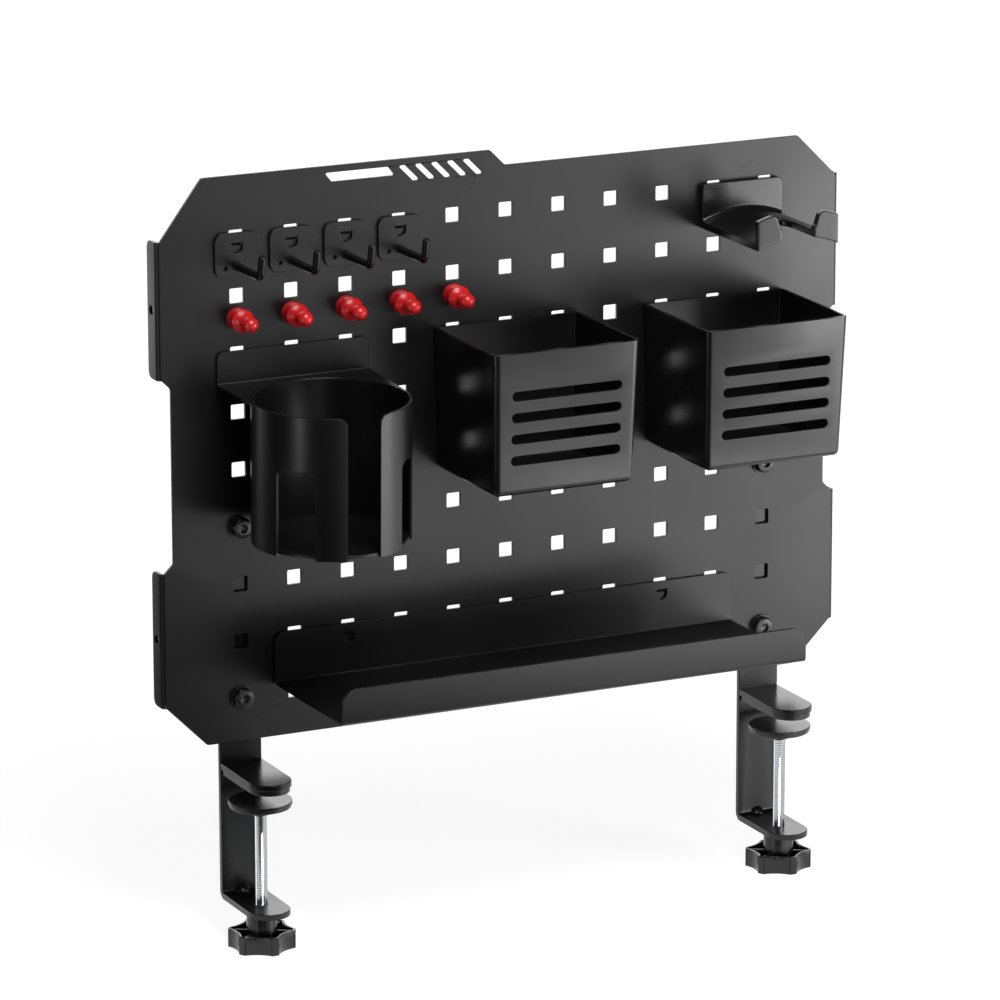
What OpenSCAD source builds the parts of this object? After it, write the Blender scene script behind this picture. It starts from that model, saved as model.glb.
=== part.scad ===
/* [Panel] */
// distance between neighbouring peg holes, both ways
pitch = 38; // [34:1:42]
// peg hole columns
hole_columns = 11; // [11:2:13]
// peg hole rows
hole_rows = 9; // [9:2:11]
// side of a square peg hole
hole_w = 10.4; // [9.8:0.1:11]
// corner radius of a peg hole
hole_r = 0.9; // [0.4:0.1:1.5]
// thickness of the panel's sheet
panel_t = 2.5; // [2:0.1:3]
// panel edge beyond the centres of the outer hole columns, to the flange's outer face
side_margin = 55.3; // [50:0.5:62]
// panel edge beyond the centres of the top and bottom hole rows
row_margin = 29.4; // [26:0.5:34]
// height of the raised left part of the top edge over its right part
crest_rise = 10.7; // [6:0.5:14]
// where the raised part starts to drop, left of the middle
crest_end = 11.2; // [4:0.5:16]
// size of the 45 degree corners
corner_cut = 28; // [20:1:34]
// width of the top left corner cut
crest_cut = 29; // [20:1:34]
// corner radius of the panel's outline
outline_r = 3; // [1:0.5:5]
// how far the side notches reach in from the bend of the flanges
notch_depth = 6; // [3:0.5:8]
// half height of a side notch
notch_half = 57.5; // [40:0.5:70]
// depth of the side flanges, over the sheet
flange_depth = 15; // [12:0.5:20]
// inner radius of every sharp sheet bend
bend_r = 0.5; // [0.3:0.1:1]
// corner radius of the flanges
flange_r = 5; // [2:0.5:7]
// diameter of the hole in each flange
flange_hole_d = 6; // [4:0.5:7]

/* [Crest cut-outs] */
// length of the long slot in the raised part
long_slot_w = 44.6; // [30:0.2:50]
// height of the long slot
long_slot_h = 6; // [4:0.2:8]
// how far the long slot's ends lean over its height
long_slot_lean = 5; // [2:0.2:7]
// middle of the long slot, left of the panel's middle
long_slot_x = 103.2; // [95:0.2:110]
// middle of the long slot, under the raised edge
long_slot_drop = 7.5; // [6:0.1:9]
// width of a short slanted slot
short_slot_w = 5; // [3:0.2:6]
// height of a short slanted slot
short_slot_h = 10.7; // [8:0.1:12]
// distance between short slanted slots
short_slot_pitch = 11.3; // [9:0.1:13]
// middle of the first short slot, left of the panel's middle
short_slot_x = 68.6; // [60:0.2:72]
// middle of the short slots, under the raised edge
short_slot_drop = 9.8; // [8:0.1:11]
// number of short slanted slots
short_slots = 5; // [3:1:5]
// corner radius of the cut-outs
slot_r = 0.8; // [0.2:0.1:1.2]

/* [Hanging tabs] */
// thickness of the accessories' sheet
sheet_t = 2; // [1.5:0.1:2.5]
// width of a tab that goes through a peg hole
tab_w = 7.4; // [6:0.2:8.6]
// gap between the back of the panel and a tab's lip
tab_gap = 0.3; // [0.2:0.05:0.5]
// how far a lip hangs below the lower edge of its hole
tab_drop = 4; // [3:0.2:4.6]
// height of the moulded tabs on the plastic accessories
moulded_tab_t = 3.4; // [3:0.1:3.8]
// width of the opening that a tab is lanced out of
lance_w = 7.8; // [7:0.2:9]
// height of that opening
lance_h = 7.6; // [6:0.2:9]

/* [Hooks] */
// number of hooks
hooks = 4; // [1:1:4]
// width of a hook's plate
hook_w = 31; // [28:0.5:34]
// height of a hook's plate
hook_h = 28.8; // [26:0.2:32]
// corner radius of a hook's plate
hook_r = 6; // [3:0.5:8]
// how far a hook's plate reaches above the middle of its hole
hook_over = 3.5; // [2:0.1:4]
// diameter of the rod
rod_d = 5; // [4:0.2:6]
// height of the rod's axis above the plate's lower edge
rod_rise = 6.7; // [5:0.1:9]
// straight length of the rod, from the plate to the bend
rod_reach = 33.2; // [25:0.2:40]
// radius of the rod's bend along its middle
rod_bend = 4; // [3:0.2:6]
// straight length of the upturned end
rod_tip = 11.4; // [8:0.2:14]
// angle of the bend
rod_angle = 78; // [60:1:90]
// chamfer at the end of the rod
rod_chamfer = 0.6; // [0.2:0.1:1]
// diameter of the small hole beside the rod
spot_d = 3; // [2:0.2:4]
// the small hole's distance to the left of the plate's middle
spot_x = 8.5; // [7:0.1:10]
// the small hole's height above the plate's lower edge
spot_rise = 6; // [4:0.1:8]

/* [Magnets] */
// number of magnets
magnets = 5; // [1:1:5]
// height of the magnets' row above the third row of holes
magnet_rise = 23.2; // [20:0.2:26]
// diameter of a magnet's plastic base
magnet_d = 15; // [13:0.2:17]
// diameter of the ball at its front
magnet_ball_d = 10.2; // [8:0.2:12]
// overall depth of a magnet
magnet_depth = 26; // [22:0.5:30]
// diameter of the disc magnet inside
disc_d = 11.6; // [9:0.2:12]
// thickness of the disc magnet
disc_t = 4; // [2:0.2:5]

/* [Cup holder] */
// width of the cup holder's plate
cup_plate_w = 106; // [104:1:120]
// how far the plate reaches above the middle of its holes
cup_over = 2.7; // [1.5:0.1:4]
// height of the plate, down to the top of its shelf
cup_plate_h = 21.2; // [18:0.2:26]
// corner radius of the plate
cup_plate_r = 4.5; // [2:0.5:8]
// outside diameter of the sleeve
cup_d = 102.6; // [96:0.2:103]
// distance from the panel to the sleeve's axis
cup_y = 61; // [56:0.5:66]
// height of the sleeve
cup_h = 93; // [80:1:110]
// forward lean of the shelf and sleeve
cup_lean = 1.2; // [0:0.1:3]
// width of the slot in front
cup_slot_w = 22.9; // [16:0.2:30]
// radius of the rim beside that slot
cup_slot_r = 6; // [3:0.5:8]
// width of the two side windows
cup_window_w = 27.4; // [20:0.2:32]
// angle from the front to the middle of a side window
cup_window_angle = 51.3; // [46:0.5:60]
// distance from the rim to the top of a window
cup_window_drop = 35.2; // [28:0.2:42]
// corner radius of the windows
cup_window_r = 5; // [2:0.5:8]
// thickness of the floor
cup_floor_t = 2; // [1.5:0.1:3]
// height of the floor's underside over the sleeve's lower edge
cup_floor_rise = 1; // [0.5:0.1:4]
// gap left for the weld round the sleeve and the floor
weld_gap = 0.3; // [0.2:0.05:0.5]

/* [Bins] */
// width of a bin at its rim
bin_w = 104; // [96:1:108]
// depth of a bin at its rim, from the panel
bin_d = 91.4; // [80:0.2:100]
// height of a bin
bin_h = 94.7; // [80:0.2:105]
// height of the rim above the middle of the holes that hold it
bin_over = 3.3; // [2:0.1:4]
// wall of a bin
bin_wall = 2.2; // [1.6:0.1:3]
// how far the front wall slopes in towards its foot
bin_front_draft = 5; // [2:0.1:8]
// how far each side wall slopes in towards its foot
bin_side_draft = 2.4; // [1:0.1:4]
// radius of the upright corners at the rim
bin_corner_r = 5; // [3.5:0.5:8]
// radius of the edges round the floor
bin_foot_r = 4; // [3:0.5:6]
// length of a slot in the front wall
bin_slot_w = 78; // [60:1:82]
// height of a slot in the front wall
bin_slot_h = 6; // [4:0.2:7]
// distance between slots
bin_slot_pitch = 14.3; // [10:0.1:15]
// distance from the rim to the middle of the first slot
bin_slot_drop = 28.3; // [20:0.1:32]
// number of slots
bin_slots = 4; // [2:1:4]

/* [Headphone hanger] */
// width of the hanger
hanger_w = 59; // [54:0.5:66]
// how far its back plate reaches above the middle of its holes
hanger_over = 3.9; // [2:0.1:4.4]
// thickness of the back plate and of the tips
hanger_t = 4.5; // [3.5:0.1:6]
// radius of the saddle's upper face
saddle_r = 73.1; // [60:0.1:90]
// height of the back plate over the saddle's crown
hanger_head = 18.7; // [15:0.1:24]
// thickness of the saddle
saddle_t = 4.5; // [3.5:0.1:6]
// reach of the hanger from the panel
hanger_reach = 81.6; // [70:0.2:90]
// width of the gap between the two arms
arm_gap_w = 24; // [18:0.5:28]
// length of that gap
arm_gap_l = 41.6; // [30:0.2:50]
// height of the upturned tips, over the saddle's upper face
tip_h = 13.6; // [10:0.2:18]
// radius of the tips' upper corners
tip_r = 4.5; // [2:0.5:6]
// radius of the back plate's upper corners
hanger_r = 3.5; // [2:0.5:6]
// radius of the inner corners between saddle, plate and tips
hanger_fillet = 2.5; // [1:0.5:4]

/* [Tray] */
// gap between each end of the tray and the washers of the fixing screws
tray_side_gap = 15.4; // [4:0.2:30]
// how far its plate reaches above the middle of its holes
tray_over = 3; // [2:0.1:4]
// height of the plate, down to the top of the shelf
tray_plate_h = 33.5; // [28:0.5:40]
// depth of the tray from the panel
tray_d = 106.3; // [80:0.1:110]
// height of the front lip, over its sheet
tray_lip_h = 24; // [15:0.2:30]
// radius of the lip's upper corners
tray_lip_r = 10.5; // [4:0.5:12]
// radius of the plate's upper corners
tray_plate_r = 6.5; // [3:0.5:10]
// inner radius of the tray's and the cup holder's bends
tray_bend_r = 1; // [0.5:0.1:2]

/* [Clamps] */
// width of a clamp's bracket and arms
bracket_w = 29; // [26:0.5:32]
// thickness of the bracket and the arms
bracket_t = 4; // [3:0.1:5]
// outer radius of the bracket's lower bend
bracket_bend_r = 6; // [5.2:0.2:8]
// how far the bracket reaches above its upper screw
bracket_over = 16; // [12:0.5:18]
// drop from the panel's middle to the top of the upper arm
arm_drop = 195.7; // [190:0.1:205]
// clear height between the upper and the lower arm
arm_clear = 84.3; // [76:0.1:92]
// reach of the upper arm from the panel's front, to the middle of its round end
upper_reach = 42.5; // [36:0.5:48]
// reach of the lower arm from the panel's front, to the middle of its round end
lower_reach = 38.5; // [34:0.5:44]
// distance from the panel's front to the screw's axis
screw_y = 28; // [26:0.2:32]
// thickness of the jaw's rubber pad
pad_t = 3.7; // [2:0.1:5]
// how far the rubber pad's edge lies inside the arm's
pad_inset = 1; // [0.5:0.1:2]
// gap between the jaws as stored
jaw_open = 10; // [6:0.5:14]
// diameter of the screw
screw_d = 8; // [7:0.5:9]
// running clearance round the screw
screw_gap = 0.05; // [0.02:0.01:0.1]
// width of the pressed dart in the lower bend
dart_w = 9.6; // [6:0.2:12]
// how far the dart runs up the bracket and along the lower arm
dart_leg = 4.4; // [3:0.1:5]
// diameter of the swivel foot's rubber facing
foot_d = 41.5; // [36:0.5:44]
// thickness of the rubber facing
facing_t = 2.4; // [1.5:0.1:3]
// thickness of the steel disc under it
foot_t = 2; // [1.5:0.1:3]
// how far the steel disc's edge lies inside the facing's
foot_inset = 0.7; // [0.3:0.1:1.2]
// diameter of the cup that holds the screw's head, at its top
socket_d = 20.6; // [18:0.2:24]
// depth of that cup
socket_h = 5; // [4.5:0.1:6]
// diameter of its lower face
socket_foot_d = 13; // [12:0.2:16]
// diameter of the screw's head
head_d = 10.6; // [10:0.1:11]
// thickness of the screw's head
head_t = 3; // [2:0.1:3.2]

/* [Knobs] */
// radius of a knob over its corners
knob_r = 22; // [20:0.5:25]
// height of a knob's rim
knob_h = 12.2; // [10:0.1:15]
// number of corners
knob_corners = 6; // [5:1:7]
// width of the flat on each corner
knob_flat = 4; // [2:0.2:5]
// depth of the hollows between corners
knob_hollow = 2; // [1:0.1:2.5]
// radius of those hollows
knob_hollow_r = 21; // [18:0.5:30]
// wall of the knob
knob_wall = 1.8; // [1.2:0.1:2.5]
// thickness of the knob's ribs
knob_rib = 1.6; // [1:0.1:2.5]
// how far the ribs lie below the rim
knob_rib_drop = 0.8; // [0.4:0.1:2]
// thickness of the knob's floor
knob_floor = 2.5; // [2:0.1:4]
// diameter of the knob's hub
hub_d = 20; // [17:0.2:22]
// how far the hub stands above the knob's rim
hub_stand = 12.7; // [10:0.1:15]
// gap between hub and lower arm with the screw wound up
hub_gap = 0.3; // [0.2:0.05:0.5]
// depth of solid plastic left under the screw
hub_blind = 4; // [3:0.2:6]

/* [Bracket screws] */
// diameter of the fixing screws
fixing_d = 8; // [6:0.5:8]
// gap round a fixing screw in the bracket, washer and nut
fixing_gap = 0.2; // [0.1:0.05:0.4]
// diameter of a fixing screw's head
fixing_head_d = 14; // [13:0.2:15]
// height of the head
fixing_head_h = 4.4; // [3.5:0.1:5]
// diameter of the flat front of the head
fixing_face_d = 11.3; // [10:0.1:12]
// size of the hexagon socket across flats
socket_flats = 5; // [4:0.5:6]
// depth of the hexagon socket
socket_depth = 2.6; // [2:0.1:3]
// diameter of a washer
washer_d = 16; // [15.2:0.2:18]
// thickness of a washer
washer_t = 1.6; // [1:0.1:2.5]
// size of a nut across flats
nut_flats = 13; // [11:0.5:14]
// thickness of a nut
nut_t = 6.5; // [5:0.1:7]
// how far a fixing screw shows behind its nut
fixing_end = 1; // [0.5:0.1:1.6]

/* [Hidden] */
// overrun of every cut
over = 1;
// least width that a rounded corner is drawn for
tiny = 0.001;
// shares of a magnet's depth and base radius: the side and collar of its plastic body
magnet_depth_shares = [0, 0.05, 0.16, 0.29, 0.34, 0.375, 0.41, 0.48, 0.555, 0.62];
magnet_radius_shares = [0.99, 1, 0.94, 0.94, 1.02, 1.02, 0.87, 0.56, 0.45, 0.52];
// gap round the disc magnet in its pocket
disc_gap = 0.1;
// height of the short upright part of a fixing screw's head, as a share of the head
head_side_share = 0.25;
// how deep a dart's ends are buried, as a share of the bracket's thickness
dart_bury_share = 0.45;
// gap between the screw's head and its cup
head_gap = 0.1;
// floor of the cup under the screw's head
socket_lip = 1.6;
// height of the flange hole, as a share of the flange's height
flange_hole_share = 0.5;
// height of the thin ring that shapes a bin's rim
rim_band = 1;
// corners on the back of a bin
bin_back_r = 3.2;

// half sizes of the grid of holes
half_cols = (hole_columns - 1) / 2;
half_rows = (hole_rows - 1) / 2;
// rows from the panel's middle down to the upper and the lower fixing screws
fixing_rows = [half_rows - 3, half_rows];
// length of the tray
tray_w = 2 * (half_cols * pitch - washer_d / 2 - tray_side_gap);
// outer bend of a sharp sheet bend in the panel
panel_bend = bend_r + panel_t;
side_x = half_cols * pitch + side_margin;
flat_x = side_x - panel_bend;
edge_z = half_rows * pitch + row_margin;
notch_x = flat_x - notch_depth;
flange_z0 = notch_half + notch_depth;
flange_z1 = edge_z - corner_cut;

// heights under the panel's middle
arm_z = -arm_drop - bracket_t;
pad_z = arm_z - pad_t;
facing_z = pad_z - jaw_open - facing_t;
foot_z = facing_z - foot_t;
socket_z = foot_z - socket_h;
lower_z = arm_z - arm_clear;
hub_z = lower_z - bracket_t - hub_gap;
rim_z = hub_z - hub_stand;
knob_z = rim_z - knob_h;
clamp_x = half_cols * pitch;
lift_z = -knob_z;

// how far the sleeve's rim reaches in front of the panel
cup_r = cup_d / 2;
cup_pivot = sheet_t + tray_bend_r;
cup_front = cup_pivot + (cup_y - cup_pivot + sqrt(cup_r * cup_r - cup_slot_w * cup_slot_w / 4)) * cos(cup_lean)
  - cup_slot_r * sin(cup_lean);
// the part's origin lies under the middle of its bounding box
panel_y = (cup_front - flange_depth) / 2;

// places along the grid, in columns and rows from its middle
function col_x(c) = c * pitch;
function row_z(r) = r * pitch;
hook_cols = [for (i = [0:hooks - 1]) i - half_cols];
magnet_cols = [for (i = [0:magnets - 1]) i - half_cols];
cup_col = 1 - half_cols;
bin_cols = [0, half_cols - 1];
hanger_col = half_cols - 0.5;
tray_tab_col = half_cols - 2;

black = [0.05, 0.05, 0.055];
satin = [0.09, 0.09, 0.1];
rubber = [0.14, 0.14, 0.14];
steel = [0.75, 0.78, 0.8];
red = [0.75, 0.05, 0.06];
zinc = [0.35, 0.35, 0.36];

$fn = 32;

// a point set with every corner replaced by an arc of the given radius
function turn(v, a) = [v[0] * cos(a) - v[1] * sin(a), v[0] * sin(a) + v[1] * cos(a)];
function unit(v) = v / norm(v);
function corner(p, q, s, r, steps) =
  let (u = unit(p - q), w = unit(s - q), half = acos(u * w) / 2,
       c = q + unit(u + w) * r / sin(half), side = sign(u[1] * w[0] - u[0] * w[1]),
       first = q + u * r / tan(half) - c, sweep = 180 - 2 * half)
  [for (k = [0:steps]) c + turn(first, side * sweep * k / steps)];
function rounded(pts, r, steps = 3) =
  let (n = len(pts))
  [for (i = [0:n - 1]) each corner(pts[(i + n - 1) % n], pts[i], pts[(i + 1) % n], r, steps)];

// places its children, drawn about the middle of the panel's front face, in the part's frame
module placed() translate([0, panel_y, lift_z]) children();

// a sheet drawn in X and Z, with its front face at the given Y
module upright(front, thick)
  translate([0, front + thick, 0]) rotate([90, 0, 0]) linear_extrude(thick) children();

// a profile drawn in Y and Z, run along X about the middle
module across(width)
  translate([-width / 2, 0, 0]) rotate([90, 0, 90]) linear_extrude(width) children();

// a rectangle with four corner radii, anticlockwise from the lower left
module plate2d(w, h, radii)
  difference() {
    square([w, h]);
    for (i = [0:3])
      if (radii[i] > tiny)
        translate([i == 1 || i == 2 ? w : 0, i > 1 ? h : 0])
          rotate(90 * i)
            difference() {
              translate([-over, -over]) square(radii[i] + over);
              translate([radii[i], radii[i]]) circle(radii[i]);
            }
  }

// a slice of a ring between two angles less than 180 degrees apart
module elbow2d(inner, thick, from, to)
  intersection() {
    difference() {
      circle(inner + thick);
      circle(inner);
    }
    polygon([[0, 0], for (a = [from, (from + to) / 2, to]) 2 * (inner + thick) * [cos(a), sin(a)]]);
  }

module slot2d(w, h) {
  square([w - h, h], center = true);
  for (s = [-1, 1]) translate([s * (w - h) / 2, 0]) circle(h / 2);
}

module peg_hole2d() {
  square([hole_w - 2 * hole_r, hole_w], center = true);
  square([hole_w, hole_w - 2 * hole_r], center = true);
  for (sx = [-1, 1], sz = [-1, 1])
    translate([sx, sz] * (hole_w / 2 - hole_r)) circle(hole_r, $fn = 8);
}

module panel_outline2d()
  polygon(rounded([
    [-notch_x, -notch_half], [-flat_x, -flange_z0],
    [-flat_x, -flange_z1], [-flat_x + corner_cut, -edge_z],
    [flat_x - corner_cut, -edge_z], [flat_x, -flange_z1],
    [flat_x, -flange_z0], [notch_x, -notch_half],
    [notch_x, notch_half], [flat_x, flange_z0],
    [flat_x, flange_z1], [flat_x - corner_cut, edge_z],
    [crest_rise - crest_end, edge_z], [-crest_end, edge_z + crest_rise],
    [-flat_x + crest_cut, edge_z + crest_rise], [-flat_x, flange_z1],
    [-flat_x, flange_z0], [-notch_x, notch_half]
  ], outline_r, 2));

module leaning_slot2d(w, h, lean)
  polygon(rounded([
    [(lean - w) / 2, -h / 2], [(lean + w) / 2, -h / 2],
    [(w - lean) / 2, h / 2], [-(w + lean) / 2, h / 2]
  ], slot_r));

module crest_cuts2d() {
  top = edge_z + crest_rise;
  translate([-long_slot_x, top - long_slot_drop])
    leaning_slot2d(long_slot_w, long_slot_h, long_slot_lean);
  for (i = [0:short_slots - 1])
    translate([-short_slot_x + i * short_slot_pitch, top - short_slot_drop])
      leaning_slot2d(short_slot_w, short_slot_h, short_slot_h);
}

// one side flange, bent back from the panel's edge
module flange(side, z0, z1) {
  translate([side * flat_x, panel_bend, z0])
    linear_extrude(z1 - z0)
      elbow2d(bend_r, panel_t, side > 0 ? -90 : 180, side > 0 ? 0 : 270);
  difference() {
    translate([side > 0 ? side_x - panel_t : -side_x, 0, 0])
      rotate([90, 0, 90]) linear_extrude(panel_t)
        translate([panel_bend, z0])
          plate2d(flange_depth - panel_bend, z1 - z0, [0, flange_r, flange_r, 0]);
    translate([side * side_x, (panel_bend + flange_depth) / 2, z0 + (z1 - z0) * flange_hole_share])
      rotate([0, 90, 0]) cylinder(h = 2 * (panel_t + over), d = flange_hole_d, center = true);
  }
}

module panel()
  placed() color(satin) {
    upright(0, panel_t)
      difference() {
        panel_outline2d();
        for (c = [-half_cols:half_cols], r = [-half_rows:half_rows])
          translate([col_x(c), row_z(r)]) peg_hole2d();
        crest_cuts2d();
      }
    for (side = [-1, 1]) {
      flange(side, flange_z0, flange_z1);
      flange(side, -flange_z1, -flange_z0);
    }
  }

// a strip with a round end, reaching forward from the given Y
module tongue2d(w, reach, from)
  union() {
    translate([-w / 2, -reach]) square([w, reach + from]);
    translate([0, -reach]) circle(w / 2);
  }

module bracket(side)
  placed() color(satin) translate([side * clamp_x, 0, 0]) {
    back = panel_t + bracket_t;
    inner = bracket_bend_r - bracket_t;
    top = bracket_over - fixing_rows[0] * pitch;
    bend_z = lower_z + inner;
    upright(panel_t, bracket_t)
      difference() {
        translate([-bracket_w / 2, bend_z])
          plate2d(bracket_w, top - bend_z, [0, 0, outline_r, outline_r]);
        for (r = fixing_rows)
          translate([0, -r * pitch]) circle(fixing_d / 2 + fixing_gap);
      }
    across(bracket_w)
      translate([panel_t - inner, bend_z]) elbow2d(inner, bracket_t, 270, 360);
    translate([0, 0, lower_z - bracket_t])
      difference() {
        linear_extrude(bracket_t) tongue2d(bracket_w, lower_reach, panel_t - inner);
        translate([0, -screw_y, -over])
          cylinder(h = bracket_t + 2 * over, r = screw_d / 2 + screw_gap);
      }
    // the pressed dart that stiffens the bend
    bury = bracket_t * dart_bury_share;
    length = dart_leg * sqrt(2) + 2 * bury;
    translate([0, panel_t, lower_z]) rotate([-45, 0, 0])
      translate([0, 0, -length / 2]) linear_extrude(length)
        polygon([[-dart_w / 2, 0], [dart_w / 2, 0], [0, -dart_leg / sqrt(2)]]);
  }

module upper_arm(side)
  placed() color(satin)
    translate([side * clamp_x, 0, arm_z])
      linear_extrude(bracket_t) tongue2d(bracket_w, upper_reach, panel_t);

module jaw_pad(side)
  placed() color(rubber)
    translate([side * clamp_x, 0, pad_z])
      linear_extrude(pad_t)
        tongue2d(bracket_w - 2 * pad_inset, upper_reach, panel_t - pad_inset);

module facing(side)
  placed() color(rubber)
    translate([side * clamp_x, -screw_y, facing_z]) cylinder(h = facing_t, d = foot_d);

module foot(side)
  placed() color(black)
    translate([side * clamp_x, -screw_y, foot_z])
      cylinder(h = foot_t, r = foot_d / 2 - foot_inset);

// the pressed cup that traps the screw's head under the foot
module socket(side)
  placed() color(black)
    translate([side * clamp_x, -screw_y, socket_z])
      difference() {
        cylinder(h = socket_h, d1 = socket_foot_d, d2 = socket_d);
        translate([0, 0, -over])
          cylinder(h = socket_h + 2 * over, r = screw_d / 2 + screw_gap);
        translate([0, 0, socket_lip])
          cylinder(h = socket_h + over, r = head_d / 2 + head_gap);
      }

module screw(side)
  placed() color(steel)
    translate([side * clamp_x, -screw_y, 0]) {
      foot_end = knob_z + hub_blind;
      head_z = foot_z - head_gap - head_t;
      translate([0, 0, foot_end]) cylinder(h = head_z - foot_end + head_t / 2, d = screw_d);
      translate([0, 0, head_z]) cylinder(h = head_t, d = head_d);
    }

// the knob's outline, drawn in by the given wall
module star2d(inset)
  difference() {
    r = knob_r - inset;
    half = max(knob_flat / 2 - inset / 2, tiny);
    apothem = knob_r * cos(180 / knob_corners) + knob_flat / 2 * sin(180 / knob_corners);
    polygon([for (i = [0:knob_corners - 1], s = [-1, 1])
      turn([r, s * half], 90 + i * 360 / knob_corners)]);
    for (i = [0:knob_corners - 1])
      rotate(90 + (i + 0.5) * 360 / knob_corners)
        translate([apothem - knob_hollow + knob_hollow_r, 0])
          circle(knob_hollow_r + inset, $fn = 96);
  }

module knob(side)
  placed() color(black)
    translate([side * clamp_x, -screw_y, knob_z])
      difference() {
        union() {
          linear_extrude(knob_floor) star2d(0);
          linear_extrude(knob_h)
            difference() {
              star2d(0);
              star2d(knob_wall);
            }
          linear_extrude(knob_h - knob_rib_drop)
            intersection() {
              star2d(knob_wall / 2);
              for (i = [0:knob_corners - 1])
                rotate(90 + i * 360 / knob_corners)
                  translate([0, -knob_rib / 2]) square([knob_r, knob_rib]);
            }
          cylinder(h = knob_h + hub_stand, d = hub_d);
        }
        translate([0, 0, hub_blind - head_gap])
          cylinder(h = knob_h + hub_stand, r = screw_d / 2 + screw_gap);
      }

// the four places where the brackets are bolted to the panel
module at_fixings()
  placed()
    for (side = [-1, 1], r = fixing_rows)
      translate([side * clamp_x, 0, -r * pitch]) rotate([90, 0, 0]) children();

module fixing_screws()
  color(black) at_fixings() {
    difference() {
      translate([0, 0, washer_t]) {
        cylinder(h = fixing_head_h * head_side_share, d = fixing_head_d);
        translate([0, 0, fixing_head_h * head_side_share])
          cylinder(h = fixing_head_h * (1 - head_side_share), d1 = fixing_head_d, d2 = fixing_face_d);
      }
      translate([0, 0, washer_t + fixing_head_h - socket_depth])
        rotate(90) cylinder(h = socket_depth + over, r = socket_flats / sqrt(3), $fn = 6);
    }
    length = panel_t + bracket_t + nut_t + fixing_end;
    translate([0, 0, -length])
      cylinder(h = length + washer_t + fixing_head_h * head_side_share, d = fixing_d);
  }

module fixing_washers()
  color(black) at_fixings()
    linear_extrude(washer_t)
      difference() {
        circle(d = washer_d);
        circle(fixing_d / 2 + fixing_gap);
      }

module fixing_nuts()
  color(zinc) at_fixings()
    translate([0, 0, -panel_t - bracket_t - nut_t])
      linear_extrude(nut_t)
        difference() {
          circle(nut_flats / sqrt(3), $fn = 6);
          circle(fixing_d / 2 + fixing_gap);
        }

// the profile of a tab: through the hole, then down behind the panel
module tab2d(thick, start) {
  lip_y = panel_t + tab_gap;
  translate([start, 0]) square([panel_t - start, thick]);
  translate([panel_t, -tab_gap]) elbow2d(tab_gap, thick, 0, 90);
  translate([lip_y, -tab_drop]) square([thick, tab_drop - tab_gap]);
}

// a moulded or welded tab on the back of a plate, resting on the lower edge of its hole
module back_tab(col, row, thick)
  translate([col_x(col), 0, row_z(row) - hole_w / 2])
    across(tab_w) tab2d(thick, -sheet_t / 2);

// a tab lanced and bent out of a plate of sheet
module lanced_tab(col, row)
  translate([col_x(col), 0, row_z(row) - hole_w / 2]) {
    outer = bend_r + sheet_t;
    across(tab_w) {
      tab2d(sheet_t, outer - sheet_t);
      translate([outer - sheet_t, outer]) elbow2d(bend_r, sheet_t, 180, 270);
    }
  }

// the opening that such a tab leaves in its plate
module lance2d(col, row)
  translate([col_x(col), row_z(row) - hole_w / 2 + bend_r + sheet_t]) {
    translate([-lance_w / 2, lance_w / 2 - lance_h]) square([lance_w, lance_h - lance_w / 2]);
    translate([0, lance_w / 2 - lance_h]) circle(lance_w / 2);
  }

hook_foot = row_z(half_rows) + hook_over - hook_h;

module hook_plate(i)
  if (i <= hooks) placed() color(satin) {
    upright(-sheet_t, sheet_t)
      difference() {
        translate([col_x(hook_cols[i - 1]) - hook_w / 2, hook_foot])
          plate2d(hook_w, hook_h, [hook_r, hook_r, hook_r, hook_r]);
        lance2d(hook_cols[i - 1], half_rows);
        translate([col_x(hook_cols[i - 1]) - spot_x, hook_foot + spot_rise]) circle(d = spot_d);
      }
    lanced_tab(hook_cols[i - 1], half_rows);
  }

module hook_rod(i)
  if (i <= hooks) placed() color(satin)
    translate([col_x(hook_cols[i - 1]), -sheet_t, hook_foot + rod_rise]) {
      rotate([90, 0, 0]) cylinder(h = rod_reach, d = rod_d);
      translate([0, -rod_reach, rod_bend]) {
        rotate([90, 0, -90]) rotate(-90) rotate_extrude(angle = rod_angle)
          translate([rod_bend, 0]) circle(d = rod_d);
        rotate([-rod_angle, 0, 0]) translate([0, 0, -rod_bend]) rotate([90, 0, 0]) {
          cylinder(h = rod_tip - rod_chamfer, d = rod_d);
          translate([0, 0, rod_tip - rod_chamfer])
            cylinder(h = rod_chamfer, d1 = rod_d, d2 = rod_d - 2 * rod_chamfer);
        }
      }
    }

magnet_z = row_z(half_rows - 2) + magnet_rise;

module magnet_cap(i)
  if (i <= magnets) placed() color(red)
    translate([col_x(magnet_cols[i - 1]), 0, magnet_z]) rotate([90, 0, 0])
      difference() {
        ball = magnet_ball_d / 2;
        r = magnet_d / 2;
        last = len(magnet_depth_shares) - 1;
        from = asin((magnet_depth * (1 - magnet_depth_shares[last]) - ball) / ball);
        rotate_extrude()
          polygon([
            [0, 0],
            for (k = [0:last]) [r * magnet_radius_shares[k], magnet_depth * magnet_depth_shares[k]],
            for (k = [1:8]) let (a = -from + (90 + from) * k / 8)
              [ball * cos(a), magnet_depth - ball + ball * sin(a)]
          ], $fn = 28);
        translate([0, 0, -over])
          cylinder(h = disc_t + disc_gap + over, r = disc_d / 2 + disc_gap);
      }

module magnet_disc(i)
  if (i <= magnets) placed() color(zinc)
    translate([col_x(magnet_cols[i - 1]), 0, magnet_z])
      rotate([90, 0, 0]) cylinder(h = disc_t, d = disc_d);

// the frame of the cup holder's shelf: its top face, leaning about the bend
shelf_z = row_z(half_rows - 2) + cup_over - cup_plate_h;
module on_shelf()
  placed()
    translate([col_x(cup_col), -cup_pivot, shelf_z + tray_bend_r])
      rotate([cup_lean, 0, 0])
        translate([0, 0, -tray_bend_r]) children();

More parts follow.
